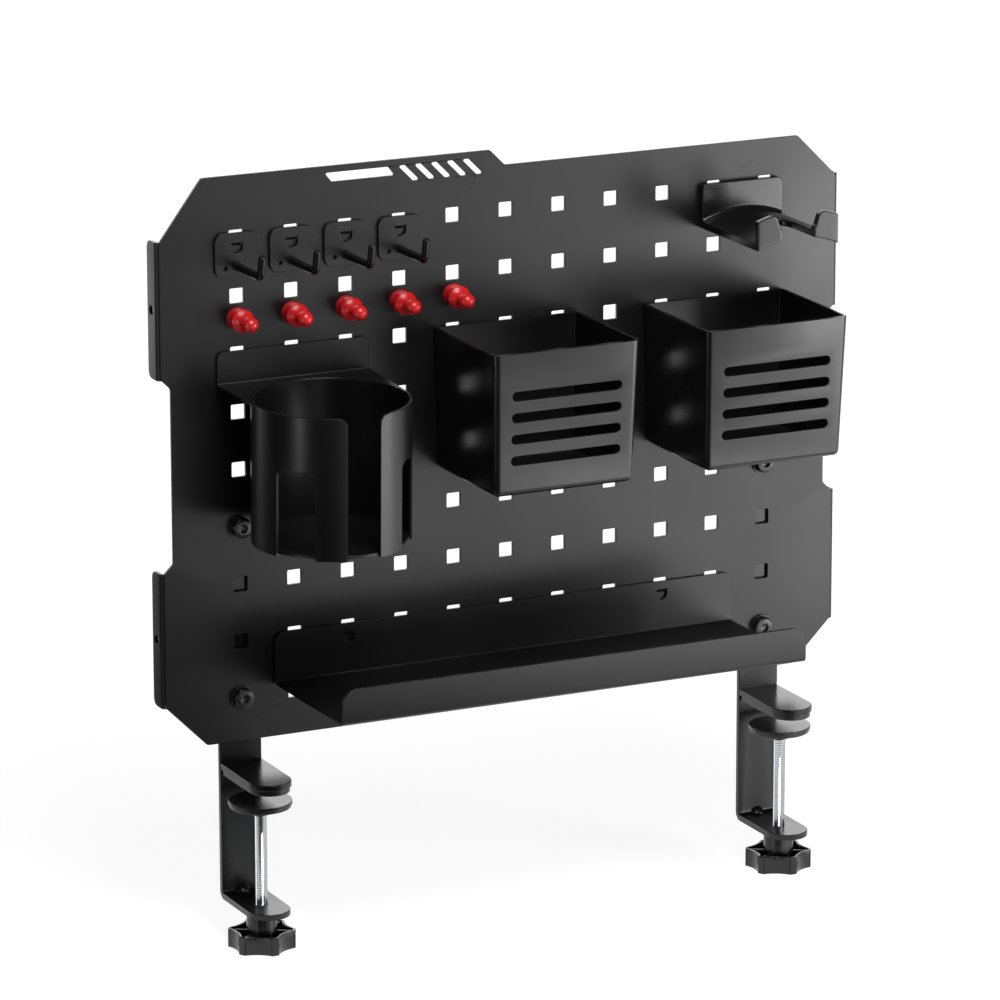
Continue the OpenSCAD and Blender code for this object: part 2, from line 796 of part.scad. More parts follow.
module cup_bracket()
  color(satin) {
    placed() {
      upright(-sheet_t, sheet_t)
        translate([col_x(cup_col) - cup_plate_w / 2, shelf_z + tray_bend_r])
          plate2d(cup_plate_w, cup_plate_h - tray_bend_r, [0, 0, cup_plate_r, cup_plate_r]);
      translate([col_x(cup_col), -cup_pivot, shelf_z + tray_bend_r])
        across(cup_plate_w) elbow2d(tray_bend_r, sheet_t, 270, 360);
      for (s = [-1, 1]) back_tab(cup_col + s, half_rows - 2, sheet_t);
    }
    on_shelf() {
      reach = cup_y - cup_pivot;
      edge = norm([cup_plate_w / 2, reach]);
      touch = atan2(reach, cup_plate_w / 2) - acos(cup_r / edge);
      translate([0, 0, -sheet_t])
        linear_extrude(sheet_t)
          difference() {
            polygon([
              [-cup_plate_w / 2, 0], [-cup_r * cos(touch), cup_r * sin(touch) - reach],
              [cup_r * cos(touch), cup_r * sin(touch) - reach], [cup_plate_w / 2, 0]
            ]);
            translate([0, -reach]) circle(cup_r + weld_gap, $fn = 96);
          }
    }
  }

module cup_sleeve()
  color(satin) on_shelf()
    translate([0, cup_pivot - cup_y, -cup_h])
      difference() {
        cylinder(h = cup_h, r = cup_r, $fn = 96);
        translate([0, 0, -over]) cylinder(h = cup_h + 2 * over, r = cup_r - sheet_t, $fn = 96);
        upright(-cup_r - over, cup_r)
          difference() {
            translate([-cup_slot_w / 2 - cup_slot_r, -over])
              square([cup_slot_w + 2 * cup_slot_r, cup_h + 2 * over]);
            for (s = [-1, 1])
              translate([s * (cup_slot_w / 2 + cup_slot_r), 0]) {
                circle_z = cup_h - cup_slot_r;
                translate([0, circle_z]) circle(cup_slot_r);
                translate([-cup_slot_r, -2 * over]) square([2 * cup_slot_r, circle_z + 2 * over]);
              }
          }
        for (s = [-1, 1])
          rotate(s * cup_window_angle) upright(-cup_r - over, cup_r)
            translate([-cup_window_w / 2, -over])
              plate2d(cup_window_w, cup_h - cup_window_drop + over,
                [0, 0, cup_window_r, cup_window_r]);
      }

module cup_floor()
  color(satin) on_shelf()
    translate([0, cup_pivot - cup_y, cup_floor_rise - cup_h])
      cylinder(h = cup_floor_t, r = cup_r - sheet_t - weld_gap, $fn = 96);

bin_rim = row_z(half_rows - 2) + bin_over;

// a bin's form, drawn in by the given wall and ending at the given foot
module bin_form(wall, foot, top)
  hull()
    for (s = [-1, 1]) {
      front = bin_corner_r - wall;
      back = bin_back_r - wall;
      low = max(bin_foot_r - wall, tiny);
      translate([s * (bin_w / 2 - bin_corner_r), bin_corner_r - bin_d, top - rim_band])
        cylinder(h = rim_band, r = front, $fn = 24);
      translate([s * (bin_w / 2 - bin_back_r), -bin_back_r, top - rim_band])
        cylinder(h = rim_band, r = back, $fn = 24);
      translate([s * (bin_w / 2 - bin_side_draft - bin_foot_r), bin_foot_r - bin_d + bin_front_draft, foot + low])
        sphere(low, $fn = 24);
      translate([s * (bin_w / 2 - bin_side_draft - bin_foot_r), -bin_foot_r, foot + low])
        sphere(low, $fn = 24);
    }

module bin(col)
  placed() color(black) {
    difference() {
      translate([col_x(col), 0, bin_rim]) bin_form(0, -bin_h, 0);
      translate([col_x(col), 0, bin_rim]) bin_form(bin_wall, bin_wall - bin_h, over);
      for (k = [0:bin_slots - 1])
        upright(-bin_d - over, bin_front_draft + bin_wall + 3 * over)
          translate([col_x(col), bin_rim - bin_slot_drop - k * bin_slot_pitch])
            slot2d(bin_slot_w, bin_slot_h);
    }
    for (s = [-1, 1]) back_tab(col + s, half_rows - 2, moulded_tab_t);
  }

// the hanger is drawn about the axis of its saddle
hanger_top = row_z(half_rows) + hanger_over;
saddle_z = hanger_top - hanger_head - saddle_r;

module hanger_band2d(inner, outer)
  intersection() {
    difference() {
      circle(outer, $fn = 96);
      circle(inner, $fn = 96);
    }
    translate([-hanger_w / 2, 0]) square([hanger_w, outer]);
  }

// the inner corner between the saddle's top and a face at the given Y
module hanger_corner(face, side)
  intersection() {
    rotate([90, 0, 0]) rotate_extrude($fn = 96)
      translate([saddle_r, -face])
        mirror([0, side < 0 ? 1 : 0])
          difference() {
            translate([-saddle_t / 2, -saddle_t / 2]) square(saddle_t / 2 + hanger_fillet);
            translate([hanger_fillet, hanger_fillet]) circle(hanger_fillet);
          }
    upright(-hanger_reach, hanger_reach) translate([-hanger_w / 2, 0]) square([hanger_w, 2 * saddle_r]);
  }

module headphone_hanger()
  placed() color(black) {
    translate([col_x(hanger_col), 0, saddle_z]) {
      under = saddle_r - saddle_t;
      tip_out = saddle_r + tip_h;
      lean = (asin(arm_gap_w / 2 / saddle_r) + asin(hanger_w / 2 / saddle_r)) / 2;
      difference() {
        union() {
          upright(-hanger_t, hanger_t)
            difference() {
              translate([-hanger_w / 2, 0])
                plate2d(hanger_w, saddle_r + hanger_head, [0, 0, hanger_r, hanger_r]);
              circle(under, $fn = 96);
            }
          upright(-hanger_reach, hanger_reach) hanger_band2d(under, saddle_r);
          hanger_corner(-hanger_t, 1);
          hanger_corner(hanger_t - hanger_reach, -1);
          upright(-hanger_reach, hanger_t) hanger_band2d(under, tip_out);
        }
        translate([0, 0, under / 2])
          linear_extrude(saddle_r)
            tongue2d(arm_gap_w, hanger_reach + arm_gap_w, arm_gap_l - hanger_reach - arm_gap_w / 2);
        translate([0, 0, under / 2])
          linear_extrude(saddle_r)
            translate([0, arm_gap_l - hanger_reach - arm_gap_w / 2]) circle(arm_gap_w / 2);
        for (s = [-1, 1])
          rotate([0, s * lean, 0])
            upright(-hanger_reach - over, hanger_t + 2 * over)
              difference() {
                half = saddle_r * sin(asin(hanger_w / 2 / saddle_r) - lean);
                translate([-half - over - tip_h, saddle_r + hanger_fillet])
                  square([2 * (half + over + tip_h), 2 * tip_h]);
                translate([-half, saddle_r])
                  plate2d(2 * half, tip_h, [0, 0, tip_r, tip_r]);
              }
      }
    }
    for (s = [-0.5, 0.5]) back_tab(hanger_col + s, half_rows, moulded_tab_t);
  }

tray_row = 1 - half_rows;
tray_top = row_z(tray_row) + tray_over;
tray_z = tray_top - tray_plate_h;

module tray()
  placed() color(satin) {
    outer = tray_bend_r + sheet_t;
    upright(-sheet_t, sheet_t)
      difference() {
        translate([-tray_w / 2, tray_z + tray_bend_r])
          plate2d(tray_w, tray_plate_h - tray_bend_r, [0, 0, tray_plate_r, tray_plate_r]);
        for (s = [-1, 1]) lance2d(s * tray_tab_col, tray_row);
      }
    for (s = [-1, 1]) lanced_tab(s * tray_tab_col, tray_row);
    across(tray_w) {
      translate([-outer, tray_z + tray_bend_r]) elbow2d(tray_bend_r, sheet_t, 270, 360);
      translate([outer - tray_d, tray_z - sheet_t]) square([tray_d - 2 * outer, sheet_t]);
      translate([outer - tray_d, tray_z + tray_bend_r]) elbow2d(tray_bend_r, sheet_t, 180, 270);
    }
    upright(-tray_d, sheet_t)
      translate([-tray_w / 2, tray_z + tray_bend_r])
        plate2d(tray_w, tray_lip_h - outer, [0, 0, tray_lip_r, tray_lip_r]);
  }

panel();
bracket(-1);  // bracket_left
bracket(1);  // bracket_right
upper_arm(-1);  // upper_arm_left
upper_arm(1);  // upper_arm_right
jaw_pad(-1);  // jaw_pad_left
jaw_pad(1);  // jaw_pad_right
fixing_screws();
fixing_washers();
fixing_nuts();
facing(-1);  // facing_left
facing(1);  // facing_right
foot(-1);  // foot_left
foot(1);  // foot_right
socket(-1);  // socket_left
socket(1);  // socket_right
screw(-1);  // screw_left
screw(1);  // screw_right
knob(-1);  // knob_left
knob(1);  // knob_right
hook_plate(1);  // hook_plate_1
hook_plate(2);  // hook_plate_2
hook_plate(3);  // hook_plate_3
hook_plate(4);  // hook_plate_4
hook_rod(1);  // hook_rod_1
hook_rod(2);  // hook_rod_2
hook_rod(3);  // hook_rod_3
hook_rod(4);  // hook_rod_4
cup_bracket();
cup_sleeve();
cup_floor();
bin(bin_cols[0]);  // bin_left
bin(bin_cols[1]);  // bin_right
headphone_hanger();
tray();
magnet_cap(1);  // magnet_cap_1
magnet_cap(2);  // magnet_cap_2
magnet_cap(3);  // magnet_cap_3
magnet_cap(4);  // magnet_cap_4
magnet_cap(5);  // magnet_cap_5
magnet_disc(1);  // magnet_disc_1
magnet_disc(2);  // magnet_disc_2
magnet_disc(3);  // magnet_disc_3
magnet_disc(4);  // magnet_disc_4
magnet_disc(5);  // magnet_disc_5
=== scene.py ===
import math

import bmesh
import bpy
from mathutils import Euler, Matrix, Vector


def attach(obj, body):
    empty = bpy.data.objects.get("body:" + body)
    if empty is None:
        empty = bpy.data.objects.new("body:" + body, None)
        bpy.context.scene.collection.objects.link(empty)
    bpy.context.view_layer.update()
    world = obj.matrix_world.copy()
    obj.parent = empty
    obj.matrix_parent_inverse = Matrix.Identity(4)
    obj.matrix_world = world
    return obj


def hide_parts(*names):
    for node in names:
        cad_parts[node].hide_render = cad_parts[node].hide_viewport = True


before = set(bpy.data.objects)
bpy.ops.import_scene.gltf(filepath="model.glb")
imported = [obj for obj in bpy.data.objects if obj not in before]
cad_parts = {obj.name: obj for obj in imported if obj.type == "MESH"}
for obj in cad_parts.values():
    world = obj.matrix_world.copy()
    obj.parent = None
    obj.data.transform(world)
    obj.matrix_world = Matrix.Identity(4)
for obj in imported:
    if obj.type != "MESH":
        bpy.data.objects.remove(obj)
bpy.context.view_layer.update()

# The studio: a pale floor under the clamp knobs and a white surround, with four soft lights. The largest, on
# the right, gives the black coating its sheen. Two black cloths that the camera can't see keep the rest of
# it dark. The camera stands to the left, a little above.
camera_place = (-1.7066, -3.4675, 1.3070)
camera_turn = (75.148, -25.836)
camera_roll = -0.088
camera_lens = 222.35
lamps = {
    # name: place, aimed at, width and height, watts
    "right_softbox": ((0.88, -0.75, 0.27), (0.10, 0.0, 0.26), (0.55, 0.54), 6.6),
    "low_strip": ((0.42, -0.48, 0.05), (0.12, 0.0, 0.12), (0.6, 0.07), 0.5),
    "left_strip": ((-1.25, -0.42, 0.22), (-0.1, 0.0, 0.20), (0.12, 0.50), 1.5),
    "top_softbox": ((-0.1, -0.75, 1.4), (0.0, 0.0, 0.25), (0.7, 0.7), 16.0),
}
white, cloth_colour = (1.0, 1.0, 1.0, 1.0), (0.01, 0.01, 0.01, 1.0)
floor_half, floor_z, floor_pale = 20.0, -0.0001, 0.35
near_lift, far_lift, lift_depths = 0.82, 1.0, (0.4, 1.1)
cloth_half, cloth_z, room_radius = 6.0, 0.0002, 14.0
back_level = 2.4
# the camera's own directions over the floor, and the studio's depth
forward, sideways, backward = (0.4358, 0.9, 0.0), (0.9, -0.4358, 0.0), (0.0, 1.0, 0.0)
# where the front cloth's left and front parts thin out: sideways, then forward
cloth_parts = (((-0.62, -0.42), (0.3, 0.9)), ((0.15, 0.50), (-0.24, -0.18)))
room_fade = (0.5 * room_radius, 0.85 * room_radius)


def put(name, data):
    """Makes an object of some data and adds it to the scene."""
    made = bpy.data.objects.new(name, data)
    bpy.context.collection.objects.link(made)
    return made


camera_data = bpy.data.cameras.new("camera")
camera_data.lens = camera_lens
camera_data.sensor_width = 36.0
camera_data.clip_end = 100.0
camera = put("camera", camera_data)
turn = Euler((math.radians(camera_turn[0]), 0.0, math.radians(camera_turn[1]))).to_matrix()
camera.matrix_world = Matrix.Translation(camera_place) @ (
    turn @ Matrix.Rotation(math.radians(camera_roll), 3, "Z")).to_4x4()
bpy.context.scene.camera = camera
bpy.context.scene.view_settings.view_transform = "Standard"

for name, (place, aim, size, watts) in lamps.items():
    lamp = bpy.data.lights.new(name, "AREA")
    lamp.shape = "RECTANGLE"
    lamp.size, lamp.size_y = size
    lamp.energy = watts
    holder = put(name, lamp)
    holder.matrix_world = Matrix.Translation(place) @ (
        Vector(aim) - Vector(place)).to_track_quat("-Z", "Y").to_matrix().to_4x4()
    holder.visible_camera = False


def new_material(name):
    """An empty node material; gives the material, its node tree and its Principled shader."""
    material = bpy.data.materials.new(name)
    material.use_nodes = True
    return material, material.node_tree, material.node_tree.nodes["Principled BSDF"]


def feed(tree, node, inputs):
    """Gives a node's inputs their values, or links them to other nodes, whose first output is meant."""
    for label, given in inputs.items():
        if isinstance(given, bpy.types.Node):
            given = given.outputs[0]
        if isinstance(given, bpy.types.NodeSocket):
            tree.links.new(given, node.inputs[label])
        else:
            node.inputs[label].default_value = given
    return node


def add(tree, kind, inputs, **settings):
    """Adds a node to a tree, with its settings and its inputs."""
    node = tree.nodes.new(kind)
    for label, setting in settings.items():
        setattr(node, label, setting)
    return feed(tree, node, inputs)


def combined(tree, operation, first, second):
    """One maths node over two values."""
    return add(tree, "ShaderNodeMath", {0: first, 1: second}, operation=operation)


def ramp(tree, value, start, end, low, high, form="LINEAR"):
    """Runs from low to high while the value goes from start to end."""
    return add(tree, "ShaderNodeMapRange", {
        "Value": value, "From Min": start, "From Max": end, "To Min": low, "To Max": high},
        interpolation_type=form)


def fade(tree, value, start, end, low=1.0, high=0.0):
    """Runs smoothly from low to high while the value goes from start to end."""
    return ramp(tree, value, start, end, low, high, "SMOOTHSTEP")


def along(tree, direction):
    """How far a studio point lies along a direction."""
    where = add(tree, "ShaderNodeTexCoord", {}).outputs["Object"]
    dot = add(tree, "ShaderNodeVectorMath", {0: where, 1: direction}, operation="DOT_PRODUCT")
    return dot.outputs["Value"]


def seen_directly(tree):
    """1 for a camera, glossy or transmission ray, 0 for any other."""
    rays = add(tree, "ShaderNodeLightPath", {})
    value = rays.outputs["Is Camera Ray"]
    for other in ("Is Glossy Ray", "Is Transmission Ray"):
        value = combined(tree, "MAXIMUM", value, rays.outputs[other])
    return value


floor_paint, tree, shader = new_material("floor_paint")
lift = fade(tree, along(tree, forward), *lift_depths, near_lift, far_lift)
feed(tree, shader, {
    "Roughness": 0.9, "Specular IOR Level": 0.0, "Base Color": (floor_pale, floor_pale, floor_pale, 1.0),
    "Emission Color": white, "Emission Strength": combined(tree, "MULTIPLY", lift, seen_directly(tree))})


def stage_object(name, mesh, material):
    """Adds a piece of the studio, which isn't part of the organizer."""
    mesh.materials.append(material)
    made = put(name, mesh)
    return made


def square(name, half, z):
    """A level square sheet about the middle."""
    mesh = bpy.data.meshes.new(name)
    corners = ((-1, -1), (1, -1), (1, 1), (-1, 1))
    mesh.from_pydata([(x * half, y * half, z) for x, y in corners], [], [(0, 1, 2, 3)])
    return mesh


def as_mesh(name, work):
    """Turns a bmesh into a mesh and lets the bmesh go."""
    mesh = bpy.data.meshes.new(name)
    work.to_mesh(mesh)
    work.free()
    return mesh


def as_bmesh(mesh):
    """A bmesh of the given mesh."""
    work = bmesh.new()
    work.from_mesh(mesh)
    return work


def outward(work):
    """Turns a bmesh's faces outwards and gives it back."""
    bmesh.ops.recalc_face_normals(work, faces=work.faces)
    return work


stage_object("floor", square("floor", floor_half, floor_z), floor_paint)

cloths = {}
for name in ("front_cloth", "room_cloth"):
    cloth, tree, shader = new_material(name)
    feed(tree, shader, {"Base Color": cloth_colour, "Roughness": 1.0, "Specular IOR Level": 0.0})
    cloths[name] = cloth, tree, shader

cloth, tree, shader = cloths["front_cloth"]
across, deep = along(tree, sideways), along(tree, forward)
parts = [combined(tree, "MULTIPLY", fade(tree, across, *beside), fade(tree, deep, *onward))
         for beside, onward in cloth_parts]
feed(tree, shader, {"Alpha": combined(tree, "MAXIMUM", *parts)})
flag = stage_object("front_cloth", square("front_cloth", cloth_half, cloth_z), cloth)
flag.visible_camera = flag.visible_shadow = flag.visible_diffuse = False

cloth, tree, shader = cloths["room_cloth"]
feed(tree, shader, {"Alpha": fade(tree, along(tree, backward), *room_fade)})
work = bmesh.new()
bmesh.ops.create_uvsphere(work, u_segments=48, v_segments=24, radius=room_radius)
room = stage_object("room_cloth", as_mesh("room_cloth", work), cloth)
room.visible_camera = False

world = bpy.data.worlds.new("surround")
world.use_nodes = True
bpy.context.scene.world = world
feed(world.node_tree, world.node_tree.nodes["Background"], {"Color": white, "Strength": back_level})

# The panel: one 2.5 mm steel sheet, punched with 99 square holes and a row of crest cut-outs, its four side
# flanges folded back, then powder coated satin black. It is bolted to the two clamp brackets.
mm = 0.001
panel_front = 0.047928
panel_middle = 0.3132
pitch = 38 * mm
columns, rows = 11, 9
hole_side, hole_corner = 9.7 * mm, 0.8 * mm
panel_thick = 2.5 * mm
flat_x, edge_z, crest_z = 242.3 * mm, 181.4 * mm, 192.1 * mm
corner_cut, crest_cut, crest_end = 28 * mm, 29 * mm, 11.2 * mm
notch_x, notch_z, flange_low, flange_high = 236.3 * mm, 57.5 * mm, 63.5 * mm, 153.4 * mm
flange_inner, flange_straight, flange_corner, flange_hole = 0.5 * mm, 12 * mm, 5 * mm, 3 * mm
outline_corner = 3 * mm
long_slot = (44.6 * mm, 6 * mm, 5 * mm, -103.2 * mm, 7.5 * mm)
short_slot = (5 * mm, 10.7 * mm, 10.7 * mm, -68.6 * mm, 9.8 * mm)
short_slot_step, short_slot_count, slot_corner = 11.3 * mm, 5, 0.8 * mm
seam = 0.002 * mm      # points nearer than this are one
coat_colour, coat_grain, skin_deep = (0.005, 0.005, 0.0052), 1500.0, 0.05 * mm
noise_low, noise_high = 0.3, 0.7      # the range that noise mostly keeps to


def noise(tree, scale, detail=2.0, stretch=None):
    """Noise over the piece's own coordinates, drawn out along them where a stretch is given."""
    where = add(tree, "ShaderNodeTexCoord", {}).outputs["Object"]
    if stretch:
        where = add(tree, "ShaderNodeMapping", {"Vector": where, "Scale": stretch})
    return add(tree, "ShaderNodeTexNoise", {"Vector": where, "Scale": scale, "Detail": detail})


def two_tone(tree, value, dark, light, low=noise_low, high=noise_high):
    """Runs from a dark colour to a light one while the value goes from low to high."""
    tint = add(tree, "ShaderNodeValToRGB", {"Fac": value})
    for stop, level, colour in zip(tint.color_ramp.elements, (low, high), (dark, light)):
        stop.position, stop.color = level, (*colour, 1.0)
    return tint


def skin(tree, height, strength):
    """The fine unevenness of a surface."""
    return add(tree, "ShaderNodeBump", {"Height": height, "Strength": strength, "Distance": skin_deep})


def powder_coat(name, roughness, bump):
    """Satin black paint: faint clouds in colour and gloss, and a fine orange-peel skin."""
    material, tree, shader = new_material(name)
    clouds = noise(tree, 14.0, 5.0)
    feed(tree, shader, {
        "Specular IOR Level": 0.45,
        "Base Color": two_tone(tree, clouds, [c * 0.8 for c in coat_colour], [c * 1.25 for c in coat_colour]),
        "Roughness": ramp(tree, clouds, noise_low, noise_high, roughness - 0.03, roughness + 0.03),
        "Normal": skin(tree, noise(tree, coat_grain), bump)})
    return material


def arc_corners(points, steps=4):
    """A closed loop through (x, y, radius) points, each corner replaced by an arc."""
    loop = []
    count = len(points)
    for i, (x, y, r) in enumerate(points):
        here = Vector((x, y))
        if r <= 0:
            loop.append(here)
            continue
        back = (Vector(points[i - 1][:2]) - here).normalized()
        on = (Vector(points[(i + 1) % count][:2]) - here).normalized()
        half = back.angle(on) / 2
        centre = here + (back + on).normalized() * (r / math.sin(half))
        first = here + back * (r / math.tan(half)) - centre
        sweep = (math.pi - 2 * half) * (1 if back.cross(on) < 0 else -1)
        for k in range(steps + 1):
            loop.append(centre + Matrix.Rotation(sweep * k / steps, 2) @ first)
    return loop


def circle_loop(x, y, r, steps=24, start=0.0, end=math.tau):
    """Points on a circle, or on an arc of it with both ends."""
    full = abs(end - start - math.tau) < 1e-6
    turns = [start + (end - start) * k / steps for k in range(steps if full else steps + 1)]
    return [Vector((x + r * math.cos(a), y + r * math.sin(a))) for a in turns]


def group_tree(name, sockets):
    """A geometry-nodes tree with the given inputs; gives the tree and what comes in."""
    tree = bpy.data.node_groups.new(name, "GeometryNodeTree")
    tree.interface.new_socket("Geometry", in_out="INPUT", socket_type="NodeSocketGeometry")
    for label, kind in sockets.items():
        tree.interface.new_socket(label, in_out="INPUT", socket_type="NodeSocket" + kind)
    tree.interface.new_socket("Geometry", in_out="OUTPUT", socket_type="NodeSocketGeometry")
    return tree, tree.nodes.new("NodeGroupInput").outputs


def finished(tree, made):
    """Lets out what a tree has made and gives the tree back."""
    add(tree, "NodeGroupOutput", {"Geometry": made})
    return tree


def sheet_tree():
    """Geometry nodes that fill loops, less a grid of square holes, and give the sheet its thickness."""
    tree, given = group_tree("pressed_sheet", {
        "Thickness": "Float", "Columns": "Int", "Rows": "Int", "Pitch": "Float", "Hole side": "Float",
        "Hole corner": "Float"})
    outline = add(tree, "GeometryNodeMeshToCurve", {"Mesh": given["Geometry"]})
    grid = add(tree, "GeometryNodeMeshGrid", {"Vertices X": given["Columns"], "Vertices Y": given["Rows"]})
    for size, count in (("Size X", "Columns"), ("Size Y", "Rows")):
        gaps = combined(tree, "SUBTRACT", given[count], 1.0)
        feed(tree, grid, {size: combined(tree, "MULTIPLY", gaps, given["Pitch"])})
    side, corner = given["Hole side"], given["Hole corner"]
    punch = add(tree, "GeometryNodeCurvePrimitiveQuadrilateral", {"Width": side, "Height": side})
    soft = add(tree, "GeometryNodeFilletCurve", {"Curve": punch, "Count": 3, "Radius": corner}, mode="POLY")
    repeat = add(tree, "GeometryNodeInstanceOnPoints", {"Points": grid, "Instance": soft})
    real = add(tree, "GeometryNodeRealizeInstances", {"Geometry": repeat})
    loops = add(tree, "GeometryNodeJoinGeometry", {"Geometry": real})
    feed(tree, loops, {"Geometry": outline})
    fill = add(tree, "GeometryNodeFillCurve", {"Curve": loops}, mode="TRIANGLES")
    lift = add(tree, "GeometryNodeExtrudeMesh", {
        "Individual": False, "Mesh": fill, "Offset Scale": given["Thickness"]})
    under = add(tree, "GeometryNodeFlipFaces", {"Mesh": fill})
    both = add(tree, "GeometryNodeJoinGeometry", {"Geometry": lift})
    feed(tree, both, {"Geometry": under})
    weld = add(tree, "GeometryNodeMergeByDistance", {"Geometry": both, "Distance": 1e-6})
    whole = add(tree, "GeometryNodeRealizeInstances", {"Geometry": weld})
    return finished(tree, whole)


def evaluated(made):
    """The plain mesh of an object with its modifiers applied; the object itself goes."""
    graph = bpy.context.evaluated_depsgraph_get()
    mesh = bpy.data.meshes.new_from_object(made.evaluated_get(graph))
    made.modifiers.clear()
    bpy.data.objects.remove(made)
    return mesh


def run_tree(tree, mesh, inputs):
    """The bmesh that a geometry-nodes tree makes of the given mesh."""
    holder = put("work", mesh)
    step = holder.modifiers.new("work", "NODES")
    step.node_group = tree
    for item in tree.interface.items_tree:
        if item.in_out == "INPUT" and item.name in inputs:
            step[item.identifier] = inputs[item.name]
    return as_bmesh(evaluated(holder))


pressed_sheet = sheet_tree()


def sheet(loops, thick, columns=0, rows=0):
    """A flat sheet in X and Y, its back face at Z 0, as a bmesh."""
    verts, edges = [], []
    for loop in loops:
        first = len(verts)
        verts += [(p.x, p.y, 0.0) for p in loop]
        edges += [(first + k, first + (k + 1) % len(loop)) for k in range(len(loop))]
    mesh = bpy.data.meshes.new("loops")
    mesh.from_pydata(verts, edges, [])
    return run_tree(pressed_sheet, mesh, {
        "Thickness": thick, "Columns": columns, "Rows": rows, "Pitch": pitch, "Hole side": hole_side,
        "Hole corner": hole_corner})


def crease(work, place, normal):
    """Divides a sheet's faces along a line, so that it can bend there."""
    bmesh.ops.bisect_plane(work, geom=work.verts[:] + work.edges[:] + work.faces[:], dist=1e-7,
                           plane_co=place, plane_no=normal)


def fold(work, axis, start, way, to_front, inner, thick, degrees, steps=5):
    """Bends all that lies beyond a line of a flat sheet, as a press brake does, round the inner radius."""
    angle = math.radians(degrees)
    length = angle * (inner + thick / 2)
    for k in range(steps + 1):
        place, normal = Vector((0, 0, 0)), Vector((0, 0, 0))
        place[axis] = start + way * length * k / steps
        normal[axis] = 1.0
        crease(work, place, normal)
    for v in work.verts:
        run = way * (v.co[axis] - start)
        if run <= 0:
            continue
        turned = angle * min(run / length, 1.0)
        past = max(run - length, 0.0)
        if to_front:
            middle, reach = thick + inner, thick + inner - v.co.z
            v.co.z = middle - reach * math.cos(turned) + past * math.sin(turned)
        else:
            reach = inner + v.co.z
            v.co.z = -inner + reach * math.cos(turned) - past * math.sin(turned)
        v.co[axis] = start + way * (reach * math.sin(turned) + past * math.cos(turned))


def upright(x, y, z):
    """Turns a thing drawn in X and Y to face the front, at the given place."""
    return Matrix.Translation((x, y, z)) @ Matrix.Rotation(math.pi / 2, 4, "X")


def stand(work, x, front, thick):
    """Turns a flat sheet upright about the panel's middle and sets its front face at the given Y."""
    work.transform(upright(x, front + thick, panel_middle))


def piece(name, work, body, nodes, material, bevel=0.0, segments=2, angle=32):
    """Makes the object of a piece from its bmesh, rounds its edges and puts it in place of its CAD nodes."""
    mesh = as_mesh(name, work)
    mesh.materials.clear()
    mesh.materials.append(material)
    mesh.shade_smooth()
    made = put(name, mesh)
    if bevel:
        edges = made.modifiers.new("edges", "BEVEL")
        edges.width, edges.segments = bevel, segments
        edges.limit_method, edges.angle_limit = "ANGLE", math.radians(angle)
        edges.use_clamp_overlap = False
        edges.harden_normals = True
    else:
        mesh.set_sharp_from_angle(angle=math.radians(angle))
    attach(made, body)
    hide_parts(*nodes)
    return made


def slanted_slot(width, height, lean, x, drop):
    """A parallelogram cut-out in the crest, its foot to the right."""
    z = crest_z - drop
    return arc_corners([(x + sx * width / 2 - sz * lean / 2, z + sz * height / 2, slot_corner)
                        for sx, sz in ((-1, -1), (1, -1), (1, 1), (-1, 1))])


black_coat = powder_coat("black_powder_coat", 0.34, 0.12)
flange_run = math.pi / 2 * (flange_inner + panel_thick / 2)
flange_x = flat_x + flange_run + flange_straight
right_side = [
    (flat_x - corner_cut, -edge_z, outline_corner), (flat_x, -flange_high, 0),
    (flange_x, -flange_high, flange_corner), (flange_x, -flange_low, flange_corner),
    (flat_x, -flange_low, 0), (notch_x, -notch_z, outline_corner),
    (notch_x, notch_z, outline_corner), (flat_x, flange_low, 0),
    (flange_x, flange_low, flange_corner), (flange_x, flange_high, flange_corner),
    (flat_x, flange_high, 0),
]
left_side = [(-x, z, r) for x, z, r in reversed(right_side)]
top_edge = [(flat_x - corner_cut, edge_z, outline_corner),
            (crest_z - edge_z - crest_end, edge_z, outline_corner),
            (-crest_end, crest_z, outline_corner), (crest_cut - flat_x, crest_z, outline_corner)]
loops = [arc_corners(right_side + top_edge + left_side)]
loops.append(slanted_slot(*long_slot))
for k in range(short_slot_count):
    width, height, lean, x, drop = short_slot
    loops.append(slanted_slot(width, height, lean, x + k * short_slot_step, drop))
for side in (-1, 1):
    for up in (-1, 1):
        loops.append(circle_loop(side * (flat_x + flange_run + flange_straight / 2),
                                 up * (flange_low + flange_high) / 2, flange_hole))
work = sheet(loops, panel_thick, columns, rows)
for side in (-1, 1):
    fold(work, 0, side * flat_x, side, False, flange_inner, panel_thick, 90)
stand(work, 0, panel_front, panel_thick)
piece("punched_panel", work, "frame", ["panel"], black_coat, 0.35 * mm)

# The clamp brackets: two strips of 4 mm steel, bolted to the panel's back. The lower end of each is bent
# forward into the clamp's lower arm, and a dart pressed into the bend keeps it from opening. Powder coated.
strip_wide, strip_thick, strip_corner, strip_inner = 29 * mm, 4 * mm, 3 * mm, 2 * mm
strip_top, lower_arm_z, lower_reach = -22 * mm, -284 * mm, 38.5 * mm
clamp_x, screw_axis, screw_hole = 190 * mm, 28 * mm, 4.05 * mm
bolt_rows, bolt_hole = (-38 * mm, -152 * mm), 4.2 * mm
dart_half, dart_run, dart_rise = 4.8 * mm, 6 * mm, 3.6 * mm
strip_run = math.pi / 2 * (strip_inner + strip_thick / 2)
strip_bend = lower_arm_z + strip_inner
arm_start = strip_bend - strip_run
sides = {"left": -1, "right": 1}


def round_end(wide, reach, back, corner=0.0):
    """A strip's outline with a half-round end towards -Y, and a square or rounded back."""
    half = wide / 2
    return arc_corners([(p.x, p.y, 0) for p in circle_loop(0, -reach, half, 24, math.pi, math.tau)]
                       + [(half, back, corner), (-half, back, corner)])


